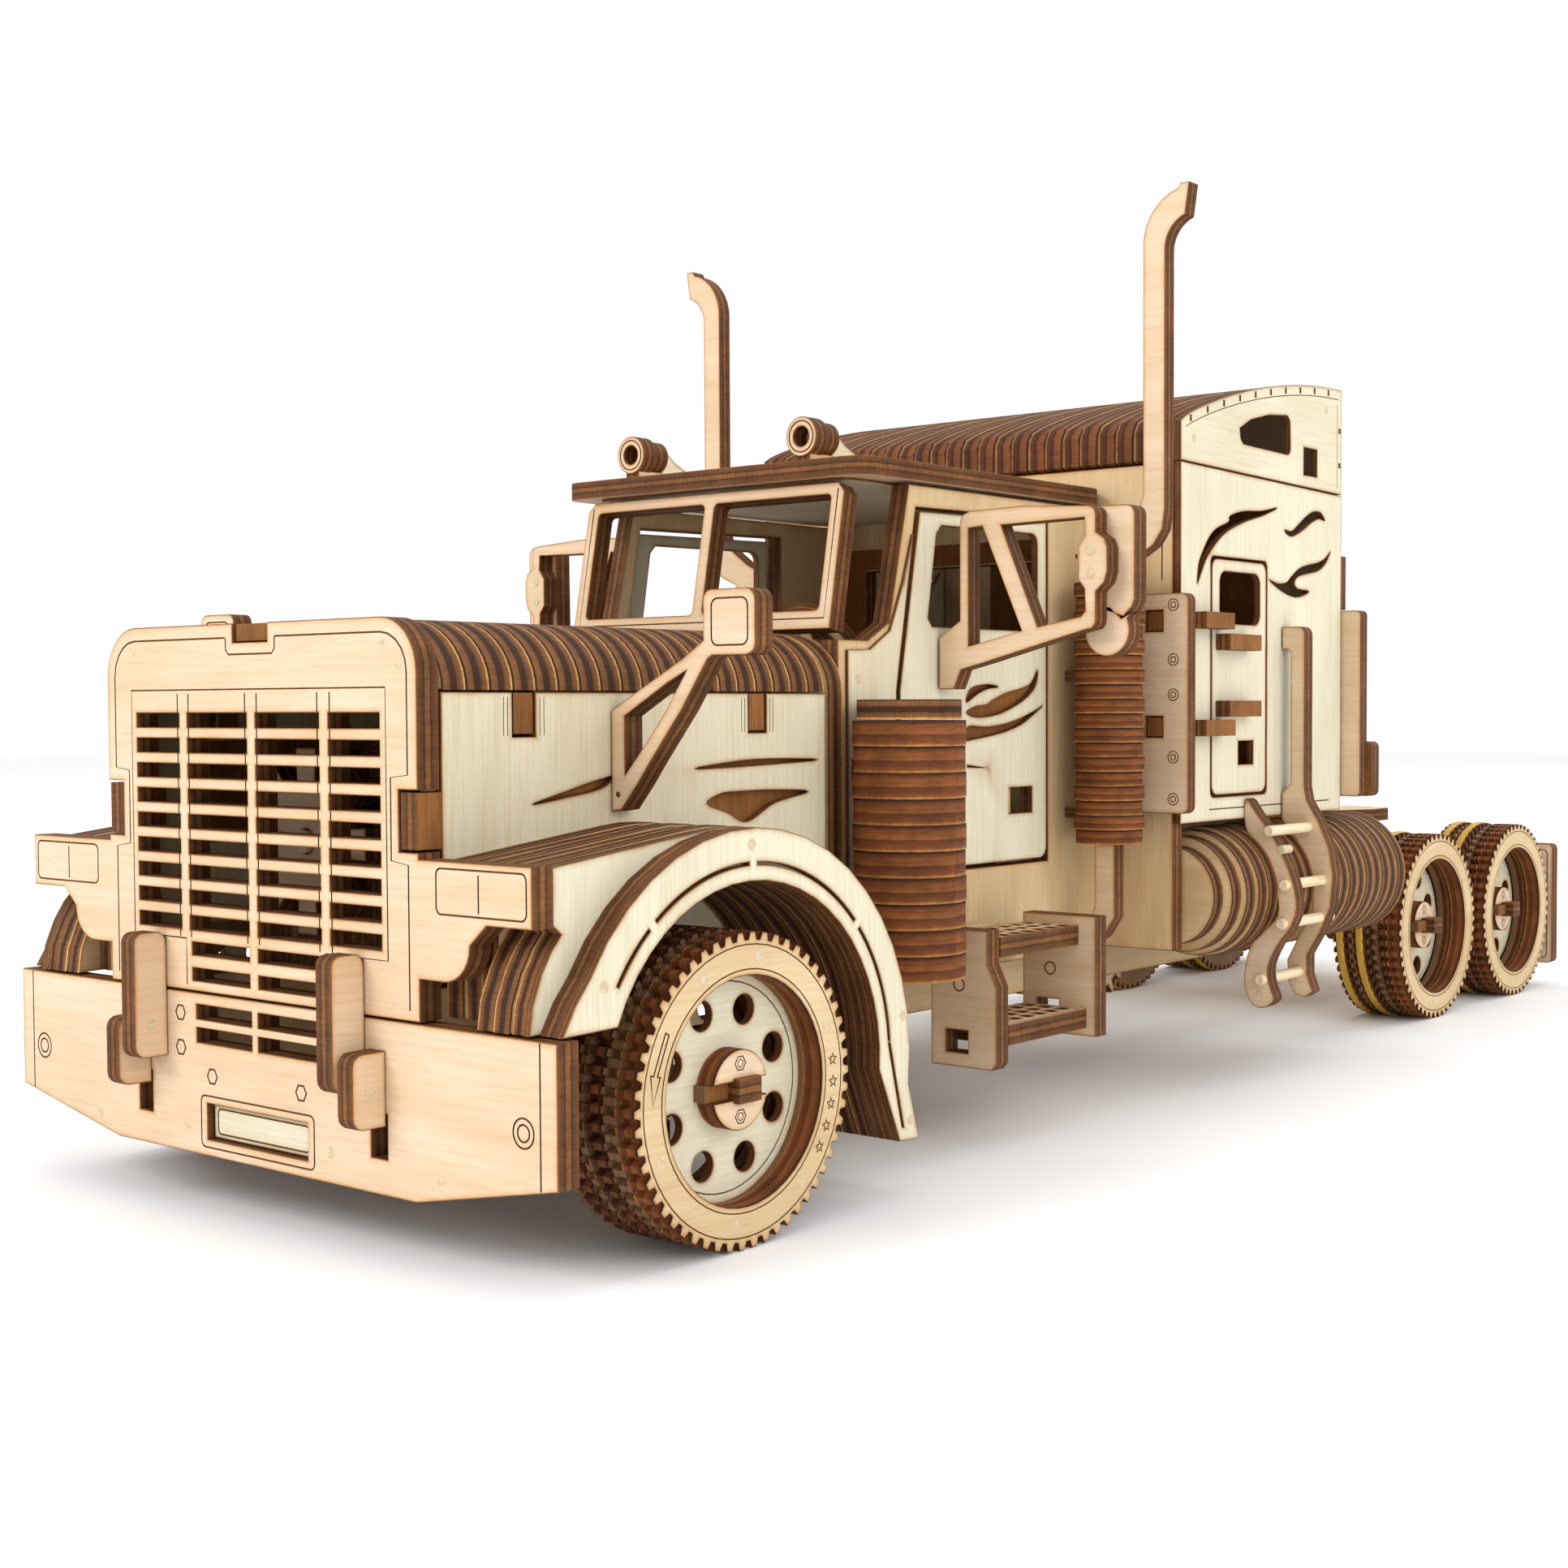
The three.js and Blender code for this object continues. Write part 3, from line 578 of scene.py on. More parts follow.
# ---- front end ----
def front_panel():
    half = [(HOOD_HALF, BUMPER_TOP + 0.3), (HOOD_HALF, 42.3), (45, 42.3), *arc(45, 47.8, 5.5, -80, 0, 6),
            (54, 50.8), (63.3, 50.8), (63.3, 59.4), (HOOD_HALF, 59.4), (HOOD_HALF, 60.3), (35.3, 60.3),
            (35.3, 69.3), (HOOD_HALF, 69.3), *arc(HOOD_HALF - 8, HOOD_TOP - 8, 8, 0, 90, 8)]
    columns = [(-31.2, -19.2), (-17, -1.1), (1.1, 17), (19.2, 31.2)]
    holes = [rect(a, 45.8 + i * 4.03, b, 48.1 + i * 4.03) for a, b in columns for i in range(9)]
    holes += [rect(a, z, b, z + 2.1) for a, b in [(-16.5, -1.1), (1.1, 16.5)] for z in (37.7, 41.8)]
    frame_line = [(32.6, 84), (32.6, 44.4), (18, 44.4), (18, 37)]
    rim = [(37.4, 37.6), (37.4, 58.5), (33.6, 59), (33.6, 71), (37.4, 71.4),
           *arc(31.6, 86.2, 5.8, 0, 90, 5), (6.4, 92)]
    lines = [stroke(both(frame_line)[4:] + both(frame_line)[:4]), stroke(rim), stroke(mirrored(rim)),
             stroke([(-6.3, 91.9), (-6.3, 90.2), (-5.6, 89.4), (5.6, 89.4), (6.3, 90.2), (6.3, 92)])]
    lines += [stroke([(x, 44.6), (x, 83.4)]) for x in (-19.6, -16.6, -1.5, 1.5, 16.6, 19.6)]
    lens = round_rect(43.4, 51.9, 62.2, 58.4, 1)
    lines += [stroke(points, closed=True) for points in (lens, mirrored(lens))]
    lines += [stroke([(s * 52.4, 52.4), (s * 52.4, 57.8)]) for s in (-1, 1)]
    piece = Piece("front_panel_sheet", "truck")
    notched = both(half + [(4.5, HOOD_TOP), (4.5, 91.2)])
    piece.y(notched, 0, PLY, holes=holes, lines=lines, tone=0.15)
    piece.y(rect(-4.3, 91.4, 4.3, 94.1), 0.5, 4.0, face="edge")
    piece.pins("Y", [(s * u, v) for s in (-1, 1) for u, v in ((32.3, 90.2), (35.5, 87.2))], 0, PLY)
    piece.done("front_panel")


def bumper():
    half = [(38.4, 10), (BUMPER_HALF, 15.7), (BUMPER_HALF, BUMPER_TOP)]
    holes = [rect(a, z, b, z + 2.4) for a, b in [(-15.6, -0.8), (0.8, 15.6)] for z in (27.9, 31.6)]
    holes += [rect(-13, 12.6, 13, 18.4), rect(28.2, 15.3, 32, 22), rect(-32, 15.3, -28.2, 22)]
    lines = []
    for s in (-1, 1):
        lines += [stroke([(s * 64.6, 15.3), (s * 64.6, 35.6)]),
                  stroke(ring(s * 61.2, 22.9, 2.1, 20), closed=True),
                  stroke(ring(s * 20, 32.3, 1.3, 6), closed=True),
                  stroke(ring(s * 20, 26.7, 1.3, 6), closed=True),
                  stroke(ring(s * 11.5, 22.8, 1.3, 6), closed=True),
                  stroke(ring(s * 61.2, 22.9, 1.2, 16), closed=True)]
    plate = round_rect(-14.6, 11.4, 14.6, 19.6, 1)
    lines.append(stroke(plate, closed=True))
    piece = Piece("bumper_sheet", "truck")
    piece.y(both(half), 0, PLY, holes=holes, lines=lines, tone=0.1)
    long = [(-0.15, BUMPER_TOP + 0.3), (-0.3, 44.5), *arc(-1.9, 43.6, 1.6, 0, 90, 4),
            *arc(-4.4, 43.6, 1.6, 90, 180, 4), (-6, 27.5), *arc(-4, 27, 2, 180, 270, 4), (-0.1, 25)]
    short = [(-0.1, 31.3), *arc(-4.2, 29.5, 1.8, 90, 180, 4), *arc(-4, 22.2, 2, 180, 270, 4), (-0.1, 20.2)]
    for s in (-1, 1):
        piece.x(long, s * 23.5, s * 27.2, tone=0.3)
        piece.x(short, s * 28.3, s * 31.8, tone=0.6)
        piece.pins("X", [(-3.1, 30.2)], *span(s, 23.5, 27.2))
        piece.pins("X", [(-3.1, 25.6)], *span(s, 28.3, 31.8))
    piece.pins("Y", [(s * u, v) for s in (-1, 1) for u, v in ((18.4, 14.6), (44, 13.4))], 0, PLY)
    piece.done("bumper")
    blank = Piece("licence_plate", "truck")
    blank.y(rect(-12.8, 12.8, 12.8, 18.2), 1.2, 2.7,
            lines=[stroke(round_rect(-11.8, 13.5, 11.8, 17.5, 0.8), closed=True)], face="pale", tone=0.2)
    blank.done()


def hood_section(bottom, inset):
    """Half of the hood's cross-section, from a height up over its rounded shoulder."""
    side, rise = HOOD_HALF - inset, HOOD_TOP - inset - HOOD_EDGE
    shoulder = [(side - 13 + 13 * math.cos(math.radians(a)), HOOD_EDGE + rise * math.sin(math.radians(a)))
                for a in range(0, 91, 9)]
    return ([(side, bottom)] if bottom < HOOD_EDGE else []) + shoulder


def hood():
    piece = Piece("hood_ribs", "hood")
    rib = both(hood_section(HOOD_EDGE, 0)) + both(hood_section(HOOD_EDGE, PLY))[::-1]
    count = 19
    pitch = (HOOD_BACK - 4.6) / count
    for i in range(count):
        y = 4.6 + i * pitch
        piece.y(rib, y + 0.06, y + pitch - 0.06, face="birch_in_shade", edge="stack")
    piece.done("hood", slot="edge_ply")


def hood_sides():
    for side, mirror in SIDES:
        piece = Piece(f"hood_side_{side}_sheet", "truck", mirror)
        outline = [(4.4, 44), (90.6, 44), (90.6, 83.3), (74.9, 83.3), (74.9, 76.6), (70.3, 76.6),
                   (70.3, 83.3), (22.5, 83.3), (22.5, 76.6), (17.9, 76.6), (17.9, 83.3), (4.4, 83.3)]
        flames = [[(21.7, 66.4), (30, 67.4), (36.1, 68.4), (39, 70.2), (35, 69.6), (29, 68.2)],
                  [(57.1, 70.9), (72, 71.1), (88.4, 71.7), (72, 72.1)],
                  [(60, 65.1), (63.5, 66.6), (67.9, 66.8), (76, 66.8), (85.8, 66.2), (77, 64.6),
                   (69.9, 61.7), (65, 63.4)]]
        springs = [stroke([(y, 76.8), (y, 82.6)], 0.14)
                   for y in (16.2, 17, 23.4, 24.2, 68.6, 69.4, 75.8, 76.6)]
        piece.x(outline, HOOD_HALF - SKIN, HOOD_HALF, holes=[curve(f, 5) for f in flames], lines=springs,
                face="pale", grain="v", tone=0.8)
        # A thin dark sheet just inside the skin, behind the flame cut-outs: painted shade, so the cut-outs
        # look dark inside.
        piece.x(rect(18, 58, 90, 75.4), HOOD_HALF - SKIN - 0.6, HOOD_HALF - SKIN - 0.05, face="edge")
        for y in (18.2, 70.6):
            piece.x(rect(y, 77, y + PLY, 83.3), 35.7, HOOD_HALF - 0.2, face="edge", edge="stack")
        piece.x(rect(0.2, 60.7, 8, 68.9), 35.6, HOOD_HALF - 0.1, face="edge", edge="edge", tone=0.5)
        piece.done(f"hood_side_{side}", slot="thin_ply")


def hood_mirrors():
    for side, mirror in SIDES:
        piece = Piece(f"hood_mirror_{side}_sheet", "truck", mirror)
        outline = [(39.9, 64.7), (42, 65), (45.5, 69), (48.2, 72.4), (55, 80.5), (60.5, 88.2), (61.4, 88.7),
                   (68.6, 88.7), *arc(68.5, 90.4, 1.6, -90, 0, 4), *arc(68.3, 96.8, 1.8, 0, 90, 4),
                   (61.2, 98.6), *arc(61.2, 97, 1.6, 90, 180, 4), (59.6, 91), (55, 88.2), (39.9, 80.6)]
        hole = [(42.8, 70.4), (47, 75), (51.5, 80.2), (56.2, 86.6), (52, 84.6), (42.8, 79.6)]
        lines = [stroke(round_rect(61.3, 90.2, 68.6, 97.2, 1.2), closed=True), dot(41.3, 67.4)]
        piece.y(outline, 38, 38 + PLY, holes=[hole], lines=lines, under=lines, tone=0.1)
        piece.done(f"hood_mirror_{side}")


ARCH_Y, ARCH_Z, ARCH_OUT, ARCH_IN = 40.5, 24.5, 38.5, 30.5
FOOT = [(6.4, 49.6), (4.5, 47.5), (2.6, 44.4), (0.9, 40.2), (0.35, BUMPER_TOP + 0.35)]
PLATE_FOOT = [(4.4, 40.4), (1.9, BUMPER_TOP + 0.35)]
NOSE = [(4.7, 59), (4.7, 51)]
UPRIGHT = [(4.7, 59), (4.7, 36.4)]


def arch_profile(front, inset=0.0, last=98):
    """The wheel arch's outline: over the top, down its front edge, and back under."""
    over = arc(ARCH_Y, ARCH_Z, ARCH_OUT - inset, -8, last, 18)
    under = arc(ARCH_Y, ARCH_Z, ARCH_IN, 157, -4, 22)
    return [(81.5 - inset, 9.5), *over, *((y + inset, z) for y, z in front), *under, (76.3, 9.8)]


def fenders():
    for side, mirror in SIDES:
        piece = Piece(f"front_fender_{side}_stack", "truck", mirror)
        layers = ((39.95, 43.6), (43.7, 47.3), (47.4, 51), (51.1, 54.6), (54.7, 58.2), (58.3, 61))
        for i, (x0, x1) in enumerate(layers):
            front = UPRIGHT if x1 <= 51 else NOSE + FOOT
            piece.x(arch_profile(front, 0.3 if i % 2 else 0.0), x0, x1, face="birch_in_shade", edge="stack")
        piece.x(arch_profile(NOSE + FOOT), 61.05, 62.2, face="pale", edge="edge", grain="v", tone=0.2)
        slits = []
        for a0, a1 in ((4, 40), (43, 88), (91, 128), (131, 148)):
            slits.append(arc(ARCH_Y, ARCH_Z, 33.35, a0, a1, 14) + arc(ARCH_Y, ARCH_Z, 32.85, a1, a0, 14))
        slits.append([(76.9, 12), (77.4, 12), (73.8, 26.4), (73.3, 26.4)])
        piece.x(arch_profile(PLATE_FOOT, 0.15, 150), 62.3, 65.5, face="birch_in_shade", edge="edge")
        piece.x(arch_profile(PLATE_FOOT, 0, 150), 65.55, 67.0, holes=slits, face="pale", edge="edge",
                grain="v", tone=0.2)
        piece.pins("X", [(9.8, 42.4), (40.5, 60.4), (77.2, 30.4), (79.2, 13)], 64, 67.0)
        piece.done(f"front_fender_{side}", slot="edge_ply")


def engine():
    piece = Piece("engine_stack", "truck")
    for i in range(7):
        x = -13 + i * 3.8
        notch = 2.5 if i % 2 else 0
        piece.x([(14, DECK), (78, DECK), (78 - notch, 62), (14 + notch, 62)], x, x + 3.4, face="birch_in_shade")
    for s in (-1, 1):
        for i in range(7):
            y = 20 + i * 7.8
            bank = [(s * 3, 62.2), (s * 14.6, 74), (s * 23.6, 66), (s * 13.2, 56)]
            piece.y(bank, y, y + 3.8, face="birch")
    for i in range(5):
        piece.z(round_rect(-8 + i * 0.6, 26, 8 - i * 0.6, 68, 3), 62.4 + i * 3.1, 65 + i * 3.1, face="birch_in_shade")
    fan = toothed(0, 60, 10, 15, 8, wide=0.3, narrow=0.22)
    piece.y(fan, 10, 14.0, holes=[ring(0, 60, 2, 12)])
    piece.rod("Y", 0, 60, 1.8, 9, 15)
    piece.done("engine")


# ---- chassis ----
def rails():
    for side, mirror in SIDES:
        piece = Piece(f"frame_rail_{side}_sheet", "truck", mirror)
        outline = [(4.4, 20), (29, 20), (31, 29), (47, 29), (49, 20), (390, 20), (398.6, 26),
                   (398.6, RAIL_TOP), (4.4, RAIL_TOP)]
        holes = [ring(y, TYRE_R, 3.3, 24) for y in REAR_AXLES]
        holes += [round_rect(y, 26, y + 14, 33, 2) for y in (74, 96, 120, 262, 284, 338)]
        lines = [stroke([(52, 35.6), (388, 35.6)])]
        lines += [dot(y, 30) for y in (60, 92, 115, 140, 170, 303, 332, 360, 388)]
        piece.x(outline, 20, 24, holes=holes, lines=lines, face="birch_in_shade")
        piece.done(f"frame_rail_{side}")


def crossmembers():
    piece = Piece("front_crossmember_sheet", "truck")
    piece.y(rect(-19.7, 21, 19.7, RAIL_TOP), 62, 66, holes=[round_rect(-11, 25, 11, 34, 3)], face="birch_in_shade")
    piece.done("front_crossmember")
    piece = Piece("fifth_wheel_base_sheets", "truck")
    lines = [stroke(round_rect(-21.5, 324.5, 21.5, 367.5, 3), closed=True)]
    lines += [dot(s * 18.6, y) for s in (-1, 1) for y in (328, 364)]
    holes = [round_rect(-9, 326, 9, 336, 2), round_rect(-9, 356, 9, 366, 2)]
    piece.z(rect(-24, 322, 24, 370), DECK, 42, lines=lines, holes=holes, tone=0.4)
    for s in (-1, 1):
        ear = [(338, 42.05), (354, 42.05), (352, 44.4), *arc(346, 45.4, 2.4, 15, 165, 6), (340, 44.4)]
        piece.x(ear, s * 15, s * 19, face="birch_in_shade")
    piece.rod("X", 346, 46.4, 1.1, -19.3, -14.7)
    piece.rod("X", 346, 46.4, 1.1, 14.7, 19.3)
    piece.done("fifth_wheel_base")


def fifth_wheel():
    piece = Piece("fifth_wheel_sheet", "fifth_wheel")
    outline = [*arc(0, 346, 17.5, 200, 340, 24), (22, 352), (22, 361), (20.5, 364), (6, 368), (4.2, 353),
               *arc(0, 352, 3.4, 0, -180, 10), (-4.2, 353), (-6, 368), (-20.5, 364), (-22, 361), (-22, 352)]
    lines = [stroke(arc(0, 346, 14.6, 205, 335, 20)), dot(-17.5, 357), dot(17.5, 357),
             stroke([(9, 352), (17, 352), (17, 361), (9.6, 363.6)]),
             stroke([(-9, 352), (-17, 352), (-17, 361), (-9.6, 363.6)])]
    piece.z(outline, 48.4, 51.8, lines=lines, tone=0.2)
    for x in (-14.4, -5, 5, 14.4 - 3.6):
        lug = [(340.5, 48.3), (342, 45.4), *arc(346, 46.4, 2.4, 200, 340, 6), (350, 45.4), (351.5, 48.3)]
        piece.x(lug, x, x + 3.4, face="birch_in_shade")
    piece.done("fifth_wheel")


def rear_bar():
    piece = Piece("rear_bar_sheets", "truck")
    lamps = [ring(s * x, 31, 2.4, 20) for s in (-1, 1) for x in (12, 19.5, 27)]
    lines = [stroke(lens, closed=True) for lens in lamps]
    lines.append(stroke(round_rect(-31.5, 26, 31.5, 36, 2), closed=True))
    piece.y(rect(-33.5, 24, 33.5, RAIL_TOP), 398.9, 403, under=lines, face="birch")
    for s in (-1, 1):
        a, b = span(s, 33.7, 55.3)
        outline = round_rect(a, 6.2, b, 40.7, 1.5)
        dots = [dot(s * (37 + 3.4 * i), 10.5 + 3.6 * j, 0.75) for i in range(5) for j in range(7)]
        a, b = span(s, 35.2, 53.8)
        rim = stroke(round_rect(a, 7.8, b, 39, 1.2), closed=True)
        piece.y(outline, 398.9, 403, under=dots + [rim], lines=[rim])
    piece.done("rear_bar")


TEETH = 54
TOOTH = math.tau / TEETH
DISC_R = 17.5                  # the rim disc, just inside the tyre's sheets


def around(y, r, degrees):
    """A point on a circle round the wheel's centre."""
    return y + r * math.cos(math.radians(degrees)), TYRE_R + r * math.sin(math.radians(degrees))


def tread(piece, y, layers):
    """Toothed tread sheets; the thin pale ones sit half a tooth round from the thick ones."""
    for x0, x1 in layers:
        thin = x1 - x0 < 2
        outline = toothed(y, TYRE_R, 22.3, TYRE_R - (0.35 if thin else 0), TEETH,
                          TOOTH / 2 if thin else 0.0, 0.36, 0.2)
        piece.x(outline, x0, x1, holes=[ring(y, TYRE_R, 17.4, 40)], face="pale" if thin else "birch_in_shade",
                edge="birch" if thin else "rib", plain=True)


def star(u, v, r):
    """A five-pointed star."""
    points = []
    for i in range(10):
        reach = r if i % 2 == 0 else r * 0.42
        a = math.tau * i / 10 + 0.3
        points.append((u + reach * math.cos(a), v + reach * math.sin(a)))
    return points


def wheel_face(piece, y, x0, x1, marks):
    """The outer toothed ring with its engraved circles, pins, arrow and stars."""
    outline = toothed(y, TYRE_R, 22.6, TYRE_R, TEETH, 0.0, 0.36, 0.2)
    lines = [stroke(ring(y, TYRE_R, r, 60), FINE, closed=True) for r in (21.9, 18.2)]
    if marks:
        lines += [stroke(star(*around(y, 20, a), 0.95), 0.24, closed=True) for a in range(-34, 7, 10)]
        arrow = [around(y, 20.4, 148), around(y, 20.4, 166), around(y, 21, 166), around(y, 20, 178),
                 around(y, 19, 166), around(y, 19.6, 166), around(y, 19.6, 148)]
        lines.append(stroke(arrow, 0.26, closed=True))
    piece.x(outline, x0, x1, holes=[ring(y, TYRE_R, 17.3, 48)], lines=lines, face="birch_in_shade", edge="round",
            tone=0.5)
    piece.pins("X", [around(y, 20, a) for a in (22, 82, 118, 202, 262, 308)], x0, x1)


def hub(piece, y, x, out):
    """Rim disc with round holes, and a split boss with two nuts and a wedge across it."""
    holes = [ring(y + 12.2 * math.cos(a), TYRE_R + 12.2 * math.sin(a), 2.3, 20)
             for a in (math.tau * (i + 0.5) / 8 for i in range(8))]
    piece.x(ring(y, TYRE_R, DISC_R, 48), x, x + 1.5, holes=holes,
            lines=[stroke(ring(y, TYRE_R, 16, 48), FINE, closed=True)], face="pale", tone=0.35)
    boss = x + 1.55
    while boss < out - 3.5:
        for up in (1, -1):
            start, end = (13, 167) if up > 0 else (193, 347)
            piece.x(arc(y, TYRE_R, 6.1, start, end, 16), boss, min(boss + 3.9, out - 1.2), edge="round",
                    lines=[stroke(ring(y, TYRE_R + up * 4, 1.15, 6), 0.2, closed=True),
                           stroke(ring(y, TYRE_R + up * 4, 0.6, 10), 0.16, closed=True)], tone=0.05)
        boss += 4.0
    piece.x(rect(y - 6.6, TYRE_R - 1.3, y + 1.6, TYRE_R + 1.3), x + 1.6, out - 2.2, face="edge",
            edge="birch")
    piece.z(rect(out - 4.4, y - 1.6, out, y + 3.4), TYRE_R - 1.9, TYRE_R + 1.9, face="edge", edge="edge")


def front_wheels():
    for side, mirror in SIDES:
        piece = Piece(f"front_wheel_{side}_stack", f"front_wheel_{side}", mirror)
        tread(piece, FRONT_AXLE,
              [(50.0, 51.4), (51.5, 55.4), (55.5, 56.9), (57.0, 60.9), (61.0, 62.2), (62.3, 63.6)])
        wheel_face(piece, FRONT_AXLE, 63.7, 67.6, True)
        hub(piece, FRONT_AXLE, 61.2, 67.4)
        piece.done(f"front_wheel_{side}")


def front_steering():
    piece = Piece("front_axle_sheets", "truck")
    beam = rect(-42.5, 20.5, 42.5, 27)
    piece.y(beam, FRONT_AXLE - 4, FRONT_AXLE - 0.2, face="birch_in_shade", holes=[round_rect(-16, 22.4, 16, 25, 1)])
    piece.y(beam, FRONT_AXLE + 0.2, FRONT_AXLE + 4, face="birch_in_shade")
    for s in (-1, 1):
        x0, x1 = span(s, 39.4, 49)
        for z0, z1 in ((12.8, 16.6), (31.4, 35.2)):
            piece.z(round_rect(x0, FRONT_AXLE - 3.5, x1, FRONT_AXLE + 3.5, 1.5), z0, z1)
        a, b = span(s, 39.5, 42.5)
        piece.z(rect(a, FRONT_AXLE - 3.5, b, FRONT_AXLE + 3.5), 16.7, 31.3, face="birch_in_shade")
    piece.done("front_axle")
    for side, mirror in SIDES:
        piece = Piece(f"steering_knuckle_{side}_sheets", f"knuckle_{side}", mirror)
        piece.x(round_rect(34.6, 17, 42.4, 31, 1.5), 44.3, 48.7, face="birch_in_shade")
        piece.rod("X", FRONT_AXLE, TYRE_R, 2.3, 48.7, 58.4)
        arm = [(42.4, 26), (55.4, 26.2), *arc(55.4, 28, 1.8, -90, 90, 6), (42.4, 30)]
        piece.x(arm, 44.3, 47.3, holes=[ring(54, 28, 0.8, 10)], face="birch_in_shade")
        piece.done(f"steering_knuckle_{side}")


def drive_wheels():
    for number, y in enumerate(REAR_AXLES, 1):
        body = f"drive_axle_{number}"
        axle = Piece(f"rear_axle_{number}_rod", body)
        axle.rod("X", y, TYRE_R, 2.8, -44.6, 44.6, sides=24)
        for s in (-1, 1):
            a, b = span(s, 25, 28)
            axle.x(ring(y, TYRE_R, 5.5, 24), a, b, holes=[ring(y, TYRE_R, 2.9, 20)])
        axle.done(f"rear_axle_{number}")
        for side, mirror in SIDES:
            piece = Piece(f"dual_wheel_{number}_{side}_stack", body, mirror)
            tread(piece, y, [(36.8, 40.7), (40.8, 42.0), (42.1, 46.0), (47.2, 48.6), (48.7, 51.0)])
            piece.x(ring(y, TYRE_R, 20.6, 56), 46.1, 47.1, holes=[ring(y, TYRE_R, 16.6, 40)], plain=True)
            wheel_face(piece, y, 51.1, 54.9, False)
            piece.x(ring(y, TYRE_R, DISC_R, 40), 36.9, 40.4, holes=[ring(y, TYRE_R, 2.9, 20)], face="birch_in_shade")
            hub(piece, y, 45.6, 54.6)
            piece.done(f"dual_wheel_{number}_{side}")
            band = Piece(f"dual_band_{number}_{side}", body, mirror)
            for x in (38.7, 44.0):
                band.x(ring(y, TYRE_R, TYRE_R + 0.35, 60), x - 0.9, x + 0.9,
                       holes=[ring(y, TYRE_R, 22.9, 60)], face="band", edge="band", bevel=0.3, plain=True)
            band.done()


def gears():
    rows = (("motor_gear", "motor", MOTOR_Y, 14.6, 17.2, 24, 0.0),
            ("idler_gear", "idler", IDLER_Y, 9.1, 11.7, 16, math.pi / 16))
    for name, body, y, root, tip, teeth, turn in rows:
        piece = Piece(f"{name}_sheet", body)
        holes = [ring(y + root * 0.58 * math.cos(a), GEAR_Z + root * 0.58 * math.sin(a), root * 0.19, 16)
                 for a in (math.tau * i / 6 for i in range(6))]
        piece.x(toothed(y, GEAR_Z, root, tip, teeth, turn, 0.27, 0.12), 12, 16, holes=holes)
        piece.rod("X", y, GEAR_Z, 3.2, -19.4, 11.9, sides=20)
        piece.rod("X", y, GEAR_Z, 3.2, 16.1, 19.4, sides=20)
        piece.done(name)
    band = Piece("rubber_motor_bands", "motor")
    for i in range(5):
        band.x(ring(MOTOR_Y, GEAR_Z, 4.6, 24), -12 + i * 4.2, -9.6 + i * 4.2,
               holes=[ring(MOTOR_Y, GEAR_Z, 3.1, 20)], face="band", edge="band", bevel=0.4, plain=True)
    band.done()


# ---- cab ----
def cowl():
    piece = Piece("cowl_sheet", "truck")
    half = hood_section(46.2, 0)
    piece.y(both(half), 91.4, 95.4, holes=[rect(-20, 56, 20, 80)], face="birch_in_shade", edge="stack")
    piece.done("cowl")


RAKE = math.radians(10.4)


def windshield():
    piece = Piece("windshield_frame_sheet", "truck")
    piece.place = Matrix.Rotation(math.radians(90) - RAKE, 4, "X")
    piece.place.translation = (0, 103.4, 96.6)
    half = [(33.5, -2.2), (33.4, 23.4), (31.8, 25.2)]
    panes = [round_rect(-30.4, 1.3, -1.3, 23, 1), round_rect(1.3, 1.3, 30.4, 23, 1)]
    lines = [stroke([(-31.9, 24), (-31.9, -0.2), (31.9, -0.2), (31.9, 24)])]
    piece.z(both(half), 0, PLY, holes=panes, lines=lines, under=lines)
    piece.done("windshield_frame")


def door_flames():
    hook = [(134.5, 79.8), (137.4, 80.9), (141, 81.2), (143.2, 82.1), (147.8, 83.5), (153.9, 84.6),
            (156.8, 85.7), (159, 88.2), (158.8, 85.9), (157.2, 84), (153.4, 81.9), (147.4, 79.9),
            (142.8, 79.1), (137.4, 78.9)]
    low = [(134.3, 74.5), (137.8, 74.7), (143.2, 75.3), (148.3, 76.1), (153.9, 77.6), (160.8, 81),
           (157.7, 79.9), (152, 78.3), (146.4, 77.3), (140.5, 76.9), (135, 77)]
    top = [(134.5, 81.8), (138.3, 83.4), (141.6, 84.4), (145.1, 84.8), (141.4, 85.2), (136, 84.4)]
    nick = [(134.7, 69.6), (141.4, 68.9), (134.7, 69.2)]
    return [curve(f, 5) for f in (hook, low, top)] + [nick]


def cab_sides():
    for side, mirror in SIDES:
        piece = Piece(f"cab_side_{side}_sheets", "truck", mirror)
        outline = [(96, 30), (CAB_BACK, 30), (CAB_BACK, CAB_TOP), (117, CAB_TOP), (111, 96.5), (104.6, 93),
                   (96, 93)]
        opening = [(112.6, 49.4), (163.3, 49.4), (163.3, 119), (119.1, 118.2), (112.6, 84)]
        piece.x(outline, CAB_HALF - PLY, CAB_HALF, holes=[opening], face="birch_in_shade", grain="v",
                lines=[dot(174, 112), dot(174, 60), stroke([(98.4, 90.4), (98.4, 33)])])
        skin = [(98, 32), (112.2, 32), (112.2, 84), (117.4, 113), (114.4, 104), (110.4, 95), (104.4, 91.4),
                (98, 91.2)]
        piece.x(skin, CAB_HALF + 0.05, CAB_HALF + 0.7, face="pale", grain="v", tone=0.5)
        piece.pins("X", [(101, 86), (101, 40), (178, 36)], CAB_HALF - PLY, CAB_HALF + 0.7)
        piece.done(f"cab_side_{side}")


